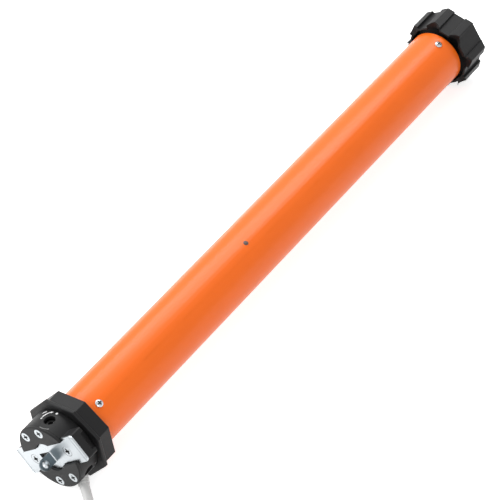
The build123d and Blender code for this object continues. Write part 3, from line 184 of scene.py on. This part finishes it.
def surface_group():
    """Shader node group that varies a colour, a roughness and a height over the surface."""
    group = bpy.data.node_groups.get("surface_variation")
    if group:
        return group
    group = bpy.data.node_groups.new("surface_variation", "ShaderNodeTree")
    sockets = (
        ("Color", "INPUT", "NodeSocketColor"),
        ("Color Spread", "INPUT", "NodeSocketFloat"),
        ("Roughness", "INPUT", "NodeSocketFloat"),
        ("Roughness Spread", "INPUT", "NodeSocketFloat"),
        ("Grain Size", "INPUT", "NodeSocketFloat"),
        ("Stretch", "INPUT", "NodeSocketVector"),
        ("Color", "OUTPUT", "NodeSocketColor"),
        ("Roughness", "OUTPUT", "NodeSocketFloat"),
        ("Height", "OUTPUT", "NodeSocketFloat"),
    )
    for name, direction, kind in sockets:
        group.interface.new_socket(name=name, in_out=direction, socket_type=kind)
    nodes, links = group.nodes, group.links
    given = nodes.new("NodeGroupInput")
    made = nodes.new("NodeGroupOutput")
    coordinates = nodes.new("ShaderNodeTexCoord")
    stretched = nodes.new("ShaderNodeVectorMath")
    stretched.operation = "MULTIPLY"
    scale = nodes.new("ShaderNodeMath")
    scale.operation = "DIVIDE"
    scale.inputs[0].default_value = 1.0
    fine = nodes.new("ShaderNodeTexNoise")
    fine.inputs["Detail"].default_value = 3.0
    broad = nodes.new("ShaderNodeTexNoise")
    broad.inputs["Scale"].default_value = 28.0
    broad.inputs["Detail"].default_value = 2.0
    shade = nodes.new("ShaderNodeMapRange")
    shade.inputs["To Min"].default_value = -1.0
    spread = nodes.new("ShaderNodeMath")
    spread.operation = "MULTIPLY_ADD"
    spread.inputs[2].default_value = 1.0
    tint = nodes.new("ShaderNodeVectorMath")
    tint.operation = "SCALE"
    gloss = nodes.new("ShaderNodeMath")
    gloss.operation = "MULTIPLY_ADD"
    links.new(coordinates.outputs["Object"], stretched.inputs[0])
    links.new(given.outputs["Stretch"], stretched.inputs[1])
    links.new(given.outputs["Grain Size"], scale.inputs[1])
    links.new(stretched.outputs[0], fine.inputs["Vector"])
    links.new(scale.outputs[0], fine.inputs["Scale"])
    links.new(coordinates.outputs["Object"], broad.inputs["Vector"])
    links.new(broad.outputs[0], shade.inputs["Value"])
    links.new(shade.outputs[0], spread.inputs[0])
    links.new(given.outputs["Color Spread"], spread.inputs[1])
    links.new(given.outputs["Color"], tint.inputs[0])
    links.new(spread.outputs[0], tint.inputs["Scale"])
    links.new(tint.outputs[0], made.inputs["Color"])
    links.new(shade.outputs[0], gloss.inputs[0])
    links.new(given.outputs["Roughness Spread"], gloss.inputs[1])
    links.new(given.outputs["Roughness"], gloss.inputs[2])
    links.new(gloss.outputs[0], made.inputs["Roughness"])
    links.new(fine.outputs[0], made.inputs["Height"])
    return group


def material(
    name, color, roughness, metallic=0.0, coat=0.0, grain=0.3, relief=0.05,
    color_spread=0.04, roughness_spread=0.05, stretch=(1.0, 1.0, 1.0), specular=0.5,
):
    """Principled material whose colour, roughness and relief come from the surface group.
    Grain and relief are in millimetres."""
    made = bpy.data.materials.get(name)
    if made:
        return made
    made = bpy.data.materials.new(name)
    made.use_nodes = True
    made.diffuse_color = (*color, 1.0)
    nodes, links = made.node_tree.nodes, made.node_tree.links
    shader = nodes["Principled BSDF"]
    shader.inputs["Metallic"].default_value = metallic
    shader.inputs["Coat Weight"].default_value = coat
    shader.inputs["Specular IOR Level"].default_value = specular
    shader.inputs["Coat Roughness"].default_value = 0.12
    varied = nodes.new("ShaderNodeGroup")
    varied.node_tree = surface_group()
    varied.inputs["Color"].default_value = (*color, 1.0)
    varied.inputs["Color Spread"].default_value = color_spread
    varied.inputs["Roughness"].default_value = roughness
    varied.inputs["Roughness Spread"].default_value = roughness_spread
    varied.inputs["Grain Size"].default_value = grain * MM
    varied.inputs["Stretch"].default_value = stretch
    bump = nodes.new("ShaderNodeBump")
    bump.inputs["Strength"].default_value = 0.6
    bump.inputs["Distance"].default_value = relief * MM
    links.new(varied.outputs["Color"], shader.inputs["Base Color"])
    links.new(varied.outputs["Roughness"], shader.inputs["Roughness"])
    links.new(varied.outputs["Height"], bump.inputs["Height"])
    links.new(bump.outputs["Normal"], shader.inputs["Normal"])
    return made


def seen_share(nodes, links):
    """Socket that is 1 for what the camera, a gloss or a glass shows, and 0 for light."""
    path = nodes.new("ShaderNodeLightPath")
    total = path.outputs["Is Camera Ray"]
    for name in ("Is Glossy Ray", "Is Transmission Ray"):
        add = nodes.new("ShaderNodeMath")
        add.operation = "MAXIMUM"
        links.new(total, add.inputs[0])
        links.new(path.outputs[name], add.inputs[1])
        total = add.outputs[0]
    return total


def shading_group():
    """Geometry node group that shades smooth except across edges sharper than its limit."""
    group = bpy.data.node_groups.get("shade_by_angle")
    if group:
        return group
    group = bpy.data.node_groups.new("shade_by_angle", "GeometryNodeTree")
    group.interface.new_socket(name="Geometry", in_out="INPUT", socket_type="NodeSocketGeometry")
    group.interface.new_socket(name="Geometry", in_out="OUTPUT", socket_type="NodeSocketGeometry")
    nodes, links = group.nodes, group.links
    given = nodes.new("NodeGroupInput")
    made = nodes.new("NodeGroupOutput")
    angle = nodes.new("GeometryNodeInputMeshEdgeAngle")
    sharp = nodes.new("FunctionNodeCompare")
    sharp.operation = "GREATER_THAN"
    sharp.inputs[1].default_value = EDGE_ANGLE
    smooth = nodes.new("GeometryNodeSetShadeSmooth")
    edges = nodes.new("GeometryNodeSetShadeSmooth")
    edges.domain = "EDGE"
    edges.inputs["Shade Smooth"].default_value = False
    links.new(given.outputs[0], smooth.inputs["Geometry"])
    links.new(smooth.outputs[0], edges.inputs["Geometry"])
    links.new(angle.outputs["Unsigned Angle"], sharp.inputs[0])
    links.new(sharp.outputs[0], edges.inputs["Selection"])
    links.new(edges.outputs[0], made.inputs[0])
    return group


def dress(node, look, edge=0.0):
    """Gives a CAD node its material and rounds its sharp edges by `edge` metres."""
    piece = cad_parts[node]
    piece.data.materials.clear()
    piece.data.materials.append(look)
    normals = piece.data.attributes.get("custom_normal")
    if normals:
        piece.data.attributes.remove(normals)
    weld = piece.modifiers.new("weld", "WELD")
    weld.merge_threshold = WELD_DISTANCE * MM
    if edge:
        rounding = piece.modifiers.new("edges", "BEVEL")
        rounding.width = edge
        rounding.segments = 2
        rounding.limit_method = "ANGLE"
        rounding.angle_limit = EDGE_ANGLE
        rounding.use_clamp_overlap = False
        rounding.miter_outer = "MITER_ARC"
    shading = piece.modifiers.new("shading", "NODES")
    shading.node_group = shading_group()
    even = piece.modifiers.new("normals", "WEIGHTED_NORMAL")
    even.keep_sharp = True


def paint_recess_shade(node, seats, look):
    """Gives a node's faces in the recesses and rims of its screws a dark material of their own:
    painted shade in the recesses and painted shadow round the rims. A seat is the middle of a
    head's top, the way it faces, the recess's radius, and the least and greatest depth of its
    faces."""
    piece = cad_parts[node]
    piece.data.materials.append(look)
    slot = len(piece.data.materials) - 1
    for face in piece.data.polygons:
        middle = piece.matrix_world @ face.center
        for top, outward, radius, least, greatest in seats:
            offset = middle - top
            down = -offset.dot(outward)
            aside = (offset + outward * down).length
            if aside < radius * MM and least * MM < down < greatest * MM:
                face.material_index = slot


# Pieces and their shapes


def new_piece(name, data, look, body):
    """Adds a piece that rides on a body and takes its finish from a material slot."""
    piece = bpy.data.objects.new(name, data)
    bpy.context.scene.collection.objects.link(piece)
    data.materials.append(look)
    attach(piece, body)
    return piece


def cord_curve(name, points, radius):
    """Smooth tube whose line has these control points, in millimetres."""
    curve = bpy.data.curves.new(name, "CURVE")
    curve.dimensions = "3D"
    curve.bevel_depth = radius * MM
    curve.bevel_resolution = 6
    curve.resolution_u = 6
    curve.use_fill_caps = True
    spline = curve.splines.new("NURBS")
    spline.points.add(len(points) - 1)
    for point, position in zip(spline.points, points):
        point.co = (*(Vector(position) * MM), 1.0)
    spline.order_u = 3
    spline.use_endpoint_u = True
    spline.use_smooth = True
    return curve


def arc_points(point, heading, radius, turn, count, rise=0.0):
    """Control points of an arc to the right of `heading`, and the place and heading at its end."""
    inwards = Vector((heading.y, -heading.x, 0.0))
    centre = point + inwards * radius
    reach = radius / math.cos(turn / count / 2)
    points = []
    for part in range(count):
        share = (part + 0.5) / count
        spot = heading * math.sin(turn * share) - inwards * math.cos(turn * share)
        points.append(centre + spot * reach + Vector((0, 0, rise * share)))
    spot = heading * math.sin(turn) - inwards * math.cos(turn)
    end = centre + spot * radius + Vector((0, 0, rise))
    return points, end, heading * math.cos(turn) + inwards * math.sin(turn)


def coil_points():
    """Control points of the coil, round each of its half turns, and the point where it ends."""
    start = Vector(LEAD_ROUTE[-1])
    heading = (start - Vector(LEAD_ROUTE[-2])).normalized()
    point = start + heading * COIL_STRAIGHT
    points = []
    for step in range(-COIL_HALF_TURNS, COIL_HALF_TURNS):
        radius = COIL_INNER_RADIUS + COIL_TURN_STEP * abs(step)
        rise = COIL_LAYER_RISE if step == 0 else 0.0
        more, point, heading = arc_points(point, heading, radius, math.pi, COIL_POINTS, rise)
        points += more
    radius = COIL_INNER_RADIUS + COIL_TURN_STEP * COIL_HALF_TURNS
    turn = math.radians(COIL_END_TURN)
    more, point, heading = arc_points(point, heading, radius, turn, COIL_END_POINTS)
    return points + more, point + heading * COIL_STRAIGHT


def strip(points, width):
    """Vertices and faces of a band along points (u, v)."""
    vertices, faces = [], []
    for index, here in enumerate(points):
        before = points[max(index - 1, 0)]
        after = points[min(index + 1, len(points) - 1)]
        along = Vector((after[0] - before[0], after[1] - before[1])).normalized()
        across = Vector((-along.y, along.x)) * width / 2
        vertices.append((here[0] + across.x, here[1] + across.y))
        vertices.append((here[0] - across.x, here[1] - across.y))
        if index:
            low = 2 * index
            faces.append((low - 2, low - 1, low + 1, low))
    return vertices, faces


def turning_arrow(radius, start, end, head, width):
    """Curved band from start to end degrees about the middle, with a head at its end."""
    turns = [
        math.radians(start + (end - start) * step / ARROW_STEPS)
        for step in range(ARROW_STEPS + 1)
    ]
    vertices, faces = strip([(radius * math.cos(t), radius * math.sin(t)) for t in turns], width)
    sense = 1.0 if end > start else -1.0
    last = turns[-1]
    corners = (
        (radius + head * ARROW_HEAD_SHARE, last),
        (radius - head * ARROW_HEAD_SHARE, last),
        (radius, last + sense * head / radius),
    )
    first = len(vertices)
    vertices += [(reach * math.cos(turn), reach * math.sin(turn)) for reach, turn in corners]
    faces.append((first, first + 1, first + 2))
    return vertices, faces


def print_on_head(name, shapes, angle, side, look):
    """Printed shapes (u along the motor, v round it, in millimetres) about a key hole, which
    side -1 mirrors."""
    vertices, faces = [], []
    for shape_vertices, shape_faces in shapes:
        first = len(vertices)
        for u, v in shape_vertices:
            turn = angle + side * math.degrees(v / HEAD_RADIUS)
            vertices.append(place(KEY_STATION + u, turn, HEAD_RADIUS + MARK_LIFT))
        faces += [tuple(first + index for index in face) for face in shape_faces]
    mesh = bpy.data.meshes.new(name)
    mesh.from_pydata(vertices, [], faces)
    mesh.update()
    new_piece(name, mesh, look, "housing")


# Settings


class BlindMotorSettings(bpy.types.PropertyGroup):
    """Sizes and colours that a user would change"""

    tube_color: bpy.props.FloatVectorProperty(
        name="Tube colour", description="Paint of the motor tube", subtype="COLOR",
        size=3, min=0.0, max=1.0, default=(0.95, 0.158, 0.008),
    )
    plastic_color: bpy.props.FloatVectorProperty(
        name="Moulded colour", description="Head, limit crown and drive wheel", subtype="COLOR",
        size=3, min=0.0, max=1.0, default=(0.0105, 0.0105, 0.011),
    )
    zinc_color: bpy.props.FloatVectorProperty(
        name="Zinc colour", description="Mounting plate and screws", subtype="COLOR",
        size=3, min=0.0, max=1.0, default=(0.50, 0.53, 0.55),
    )
    lead_color: bpy.props.FloatVectorProperty(
        name="Lead colour", description="Sheath of the mains lead", subtype="COLOR",
        size=3, min=0.0, max=1.0, default=(0.72, 0.72, 0.71),
    )
    mark_color: bpy.props.FloatVectorProperty(
        name="Mark colour", description="Printed arrows at the key holes", subtype="COLOR",
        size=3, min=0.0, max=1.0, default=(0.92, 0.92, 0.92),
    )
    plastic_edge: bpy.props.FloatProperty(
        name="Moulded edges", description="Rounding of the moulded parts' edges",
        unit="LENGTH", min=0.0, max=0.001, default=0.00028,
    )
    metal_edge: bpy.props.FloatProperty(
        name="Metal edges", description="Rounding of the pressed and turned parts' edges",
        unit="LENGTH", min=0.0, max=0.0005, default=0.00012,
    )
    mark_width: bpy.props.FloatProperty(
        name="Mark width", description="Width of the printed lines",
        unit="LENGTH", min=0.0002, max=0.002, default=0.001,
    )


def settings():
    """The scene's values of the settings."""
    return bpy.context.scene.blind_motor


# Operators


class BLINDMOTOR_OT_stage(bpy.types.Operator):
    """Sets the camera, the white floor and the lights"""

    bl_idname = "blindmotor.stage"
    bl_label = "Stage"

    def execute(self, context):
        scene = context.scene
        camera_data = bpy.data.cameras.new("camera")
        camera_data.lens = CAMERA_LENS
        camera_data.sensor_width = 36.0
        camera_data.clip_start, camera_data.clip_end = 0.05, 20.0
        camera = bpy.data.objects.new("camera", camera_data)
        scene.collection.objects.link(camera)
        axes = zip(CAMERA_RIGHT, CAMERA_UP, CAMERA_BACK)
        rows = [(*row, value * MM) for row, value in zip(axes, CAMERA_PLACE)]
        camera.matrix_world = Matrix((*rows, (0.0, 0.0, 0.0, 1.0)))
        scene.camera = camera

        mesh = bpy.data.meshes.new("floor")
        corners = ((-1, -1, 0), (1, -1, 0), (1, 1, 0), (-1, 1, 0))
        mesh.from_pydata([Vector(corner) * FLOOR_HALF for corner in corners], [], [(0, 1, 2, 3)])
        floor = bpy.data.objects.new("floor", mesh)
        scene.collection.objects.link(floor)
        white = material("floor_white", (0.86, 0.86, 0.86), 0.9, relief=0.0)
        nodes, links = white.node_tree.nodes, white.node_tree.links
        glow = nodes.new("ShaderNodeMath")
        glow.operation = "MULTIPLY"
        glow.inputs[1].default_value = FLOOR_GLOW
        links.new(seen_share(nodes, links), glow.inputs[0])
        shader = nodes["Principled BSDF"]
        shader.inputs["Emission Color"].default_value = (1.0, 1.0, 1.0, 1.0)
        shader.inputs["Specular IOR Level"].default_value = 0.0
        links.new(glow.outputs[0], shader.inputs["Emission Strength"])
        mesh.materials.append(white)

        world = bpy.data.worlds.new("studio")
        world.use_nodes = True
        background = world.node_tree.nodes["Background"]
        background.inputs["Color"].default_value = (1.0, 1.0, 1.0, 1.0)
        nodes, links = world.node_tree.nodes, world.node_tree.links
        level = nodes.new("ShaderNodeMapRange")
        level.inputs["To Min"].default_value = WORLD_LIGHT
        links.new(seen_share(nodes, links), level.inputs["Value"])
        links.new(level.outputs[0], background.inputs["Strength"])
        scene.world = world

        for name, position, size, power in LAMPS:
            light = bpy.data.lights.new(name, "AREA")
            light.shape = "RECTANGLE"
            light.size, light.size_y = size
            light.energy = power
            lamp = bpy.data.objects.new(name, light)
            scene.collection.objects.link(lamp)
            lamp.location = position
            lamp.rotation_euler = (-Vector(position)).to_track_quat("-Z", "Y").to_euler()
        scene.view_settings.view_transform = "Standard"
        return {"FINISHED"}


class BLINDMOTOR_OT_lead(bpy.types.Operator):
    """Lays the mains lead with its coil, and the four stripped cores at its end"""

    bl_idname = "blindmotor.lead"
    bl_label = "Mains lead"

    def execute(self, context):
        sheath = material("lead_sheath", tuple(settings().lead_color), 0.42, relief=0.03, grain=0.6)
        coil, coil_end = coil_points()
        points = [LEAD_EXIT, *LEAD_ROUTE, *coil, coil_end, *TAIL_ROUTE]
        curve = cord_curve("mains_lead", points, CORD_DIAMETER / 2)
        lead = new_piece("mains_lead", curve, sheath, "housing")
        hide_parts("cable_lead", "cable_coil", "cable_tail")

        end = Vector(TAIL_ROUTE[-1])
        heading = (end - Vector(TAIL_ROUTE[-2])).normalized()
        side_way = Vector((-heading.y, heading.x, 0.0)).normalized()
        up_way = heading.cross(side_way)
        cores = []
        for side, level, name, color in CORES:
            start = (
                end + heading * CORE_GAP
                + side_way * CORE_OFFSET * side + up_way * CORE_OFFSET * level
            )
            route = [start - heading * (CORE_GAP + CORE_RADIUS), start]
            for along, upper_side, lower_side, upper_height, lower_height in CORE_STEPS:
                sideways = upper_side if level > 0 else lower_side
                height = upper_height if level > 0 else lower_height
                spot = end + heading * along + side_way * side * sideways
                route.append((spot.x, spot.y, height))
            look = material(f"core_{name}", color, 0.38, relief=0.02)
            curve = cord_curve(f"core_{name}", route, CORE_RADIUS)
            cores.append(new_piece(f"core_{name}", curve, look, "housing"))
        for core in cores:
            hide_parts("cable_cores")
        dress("core_ferrules", material("tin", (0.7, 0.7, 0.69), 0.3, metallic=1.0))
        dress("coil_tie", material("tie_black", (0.015, 0.015, 0.015), 0.35), TIE_EDGE * MM)
        dress("cable_gland", sheath, GLAND_EDGE * MM)
        return {"FINISHED"}


class BLINDMOTOR_OT_moulded(bpy.types.Operator):
    """Dresses the head, the limit crown and the drive wheel"""

    bl_idname = "blindmotor.moulded"
    bl_label = "Moulded parts"

    def execute(self, context):
        own = settings()
        look = material(
            "moulded_dark", tuple(own.plastic_color), 0.46, grain=0.35, relief=0.035,
            color_spread=0.1, roughness_spread=0.08, specular=0.2,
        )
        for node in ("head_housing", "end_plates", "limit_crown", "drive_wheel"):
            dress(node, look, own.plastic_edge)
        dress("head_core", look)
        black = material(*MOULDED_BLACK)
        for node in ("up_adjuster", "down_adjuster"):
            dress(node, black, own.metal_edge)
        return {"FINISHED"}


class BLINDMOTOR_OT_tube(bpy.types.Operator):
    """Paints the motor tube"""

    bl_idname = "blindmotor.tube"
    bl_label = "Motor tube"

    def execute(self, context):
        look = material(
            "tube_paint", tuple(settings().tube_color), 0.33, coat=0.1, grain=1.2, relief=0.02,
            color_spread=0.03, roughness_spread=0.04, specular=0.25,
        )
        dress("motor_tube", look, settings().metal_edge)
        return {"FINISHED"}


class BLINDMOTOR_OT_zinc(bpy.types.Operator):
    """Dresses the mounting plate, its rivet and all the screws"""

    bl_idname = "blindmotor.zinc"
    bl_label = "Zinc plated parts"

    def execute(self, context):
        own = settings()
        look = material(
            "zinc_plate", tuple(own.zinc_color), 0.27, metallic=1.0, grain=0.5, relief=0.02,
            color_spread=0.06, roughness_spread=0.12,
        )
        for node in ("mounting_plate", "tab_rivet", "end_plate_screws", "tube_screws"):
            dress(node, look, own.metal_edge)
        dress("plate_screws", look, own.metal_edge * PLATE_SCREW_EDGES)

        front = Vector((-1.0, 0.0, 0.0))
        plate_seats = [
            (place(PLATE_FACE, PLATE_ROLL + turn, PLATE_SCREW_PLACE), front, PLATE_SCREW_HEAD)
            for turn in (0, 180)
        ]
        cover_seats = [
            (place(0, PLATE_ROLL + turn + spread, COVER_SCREW_CIRCLE), front, COVER_SCREW_HEAD)
            for turn in (90, 270)
            for spread in (-COVER_SCREW_SPREAD, COVER_SCREW_SPREAD)
        ]
        tube_seats = []
        for station, angle in TUBE_SCREWS:
            axis = place(station, angle, 0)
            for turn in (0, 180):
                top = place(station, angle + turn, TUBE_RADIUS + TUBE_SCREW_HEAD_HEIGHT)
                tube_seats.append((top, (top - axis).normalized(), TUBE_SCREW_HEAD))
        # Painted shade: a dark material in the screws' drive recesses, and painted shadow round the
        # plate's screw heads
        painted_shade = material("recess_painted_shade", (0.035, 0.035, 0.035), 0.6, metallic=0.3)
        for node, seats, least in (
            ("plate_screws", plate_seats, FLAT_HEAD_LEAST),
            ("end_plate_screws", cover_seats, FLAT_HEAD_LEAST),
            ("tube_screws", tube_seats, ROUND_HEAD_LEAST),
        ):
            sized = [
                (top, outward, head * RECESS_RADIUS_SHARE, least, head * RECESS_DEPTH_SHARE)
                for top, outward, head in seats
            ]
            paint_recess_shade(node, sized, painted_shade)
        # Painted shadow on the plate round its screw heads
        rim_shadows = [
            (top, outward, head * SEAT_RADIUS_SHARE, SEAT_LEAST, head * SEAT_DEPTH_SHARE)
            for top, outward, head in plate_seats
        ]
        paint_recess_shade("mounting_plate", rim_shadows, painted_shade)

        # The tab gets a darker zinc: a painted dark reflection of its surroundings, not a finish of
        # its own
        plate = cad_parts["mounting_plate"]
        tab_painted_reflection = material(
            "zinc_tab_painted_reflection", (0.11, 0.135, 0.15), 0.3, metallic=1.0, grain=0.5, relief=0.02,
            color_spread=0.2, roughness_spread=0.12,
        )
        plate.data.materials.append(tab_painted_reflection)
        tab_slot = len(plate.data.materials) - 1
        tab_reach = place(PLATE_FACE - TAB_START, 0, 0).x
        for face in plate.data.polygons:
            if (plate.matrix_world @ face.center).x < tab_reach:
                face.material_index = tab_slot

        rivet_steel = material("rivet_steel", (0.11, 0.09, 0.08), 0.5, metallic=0.7)
        dress("stator_rivets", rivet_steel, own.metal_edge)
        return {"FINISHED"}


class BLINDMOTOR_OT_marks(bpy.types.Operator):
    """Prints the turning arrows and the plus and minus marks at the key holes"""

    bl_idname = "blindmotor.marks"
    bl_label = "Printed marks"

    def execute(self, context):
        color = tuple(settings().mark_color)
        look = material("printed_white", color, 0.6, relief=0.0)
        # Dimmed colour, a share of the mark colour: painted shade on the lower key hole's marks
        dimmed_color = tuple(share * DIMMED_SHARE for share in color)
        dimmed = material("printed_dimmed", dimmed_color, 0.6, relief=0.0)
        width = settings().mark_width / MM
        arrow = turning_arrow(*ARROW, width)
        minus = strip(MINUS, width)
        plus = [strip(line, width) for line in PLUS]
        wedge = strip(WEDGE, width)
        far_arrow = turning_arrow(*FAR_ARROW, width * FAR_ARROW_WIDTH_SHARE)
        # The lower key hole's marks take the dimmed colour as painted shade; the upper one's far
        # arrow is dimmed too
        for name, shapes, angle, side, paint in (
            ("up_marks", [arrow, minus, *plus, wedge], KEY_ANGLES[0], 1, look),
            ("up_marks_dimmed", [far_arrow], KEY_ANGLES[0], 1, dimmed),
            ("down_marks", [arrow, minus, *plus], KEY_ANGLES[1], -1, dimmed),
        ):
            print_on_head(name, shapes, angle, side, paint)
        return {"FINISHED"}


class BLINDMOTOR_OT_inside(bpy.types.Operator):
    """Dresses the limit unit, the motor, the brake and the gearbox"""

    bl_idname = "blindmotor.inside"
    bl_label = "Inside"

    def execute(self, context):
        pale = material("moulded_pale", (0.75, 0.74, 0.70), 0.4)
        black = material(*MOULDED_BLACK)
        steel = material(
            "core_steel", (0.36, 0.36, 0.37), 0.42, metallic=1.0, stretch=(6.0, 1.0, 1.0)
        )
        ground = material("ground_steel", (0.42, 0.42, 0.44), 0.25, metallic=1.0)
        alloy = material("cast_alloy", (0.6, 0.6, 0.61), 0.5, metallic=1.0, relief=0.08)
        copper = material(
            "winding", (0.42, 0.13, 0.04), 0.3, coat=0.4, relief=0.15, stretch=(1.0, 4.0, 4.0)
        )
        lining = material("brake_lining", (0.12, 0.1, 0.08), 0.8)
        can = material("capacitor_film", (0.55, 0.56, 0.58), 0.2, coat=0.3)
        wires = material("wire_brown", BROWN, 0.38)
        looks = (
            (pale, "limit_pinion first_counter_wheel second_counter_wheel third_counter_wheel"),
            (pale, "up_cam down_cam up_plunger down_plunger"),
            (black, "limit_frame limit_switches terminal_board capacitor_clamp"),
            (steel, "stator_core rotor_core brake_magnet brake_armature"),
            (steel, "gearbox_housing output_housing"),
            (ground, "motor_shaft output_shaft first_stage_carrier second_stage_carrier"),
            (ground, "wheel_clip brake_spring"),
            (alloy, "front_shield rear_shield"),
            (copper, "windings"),
            (lining, "brake_disc"),
            (can, "capacitor"),
            (wires, "internal_wires"),
        )
        for look, names in looks:
            for node in names.split():
                dress(node, look)
        for stage in ("first", "second", "third"):
            for planet in (1, 2, 3):
                dress(f"{stage}_stage_planet_{planet}", ground)
        return {"FINISHED"}


class BLINDMOTOR_PT_panel(bpy.types.Panel):
    """Lists the steps that dress the motor"""

    bl_label = "Blind motor"
    bl_idname = "BLINDMOTOR_PT_panel"
    bl_space_type = "VIEW_3D"
    bl_region_type = "UI"
    bl_category = "Blind motor"

    def draw(self, context):
        for name in BlindMotorSettings.__annotations__:
            self.layout.prop(context.scene.blind_motor, name)
        for operator in OPERATORS:
            self.layout.operator(operator.bl_idname)


OPERATORS = (
    BLINDMOTOR_OT_stage,
    BLINDMOTOR_OT_lead,
    BLINDMOTOR_OT_moulded,
    BLINDMOTOR_OT_tube,
    BLINDMOTOR_OT_zinc,
    BLINDMOTOR_OT_marks,
    BLINDMOTOR_OT_inside,
)


def register():
    for kind in (BlindMotorSettings, *OPERATORS, BLINDMOTOR_PT_panel):
        bpy.utils.register_class(kind)
    bpy.types.Scene.blind_motor = bpy.props.PointerProperty(type=BlindMotorSettings)


def unregister():
    del bpy.types.Scene.blind_motor
    for kind in reversed((BlindMotorSettings, *OPERATORS, BLINDMOTOR_PT_panel)):
        bpy.utils.unregister_class(kind)


def main():
    register()
    for operator in OPERATORS:
        group, name = operator.bl_idname.split(".")
        getattr(getattr(bpy.ops, group), name)()


if __name__ == "__main__":
    main()
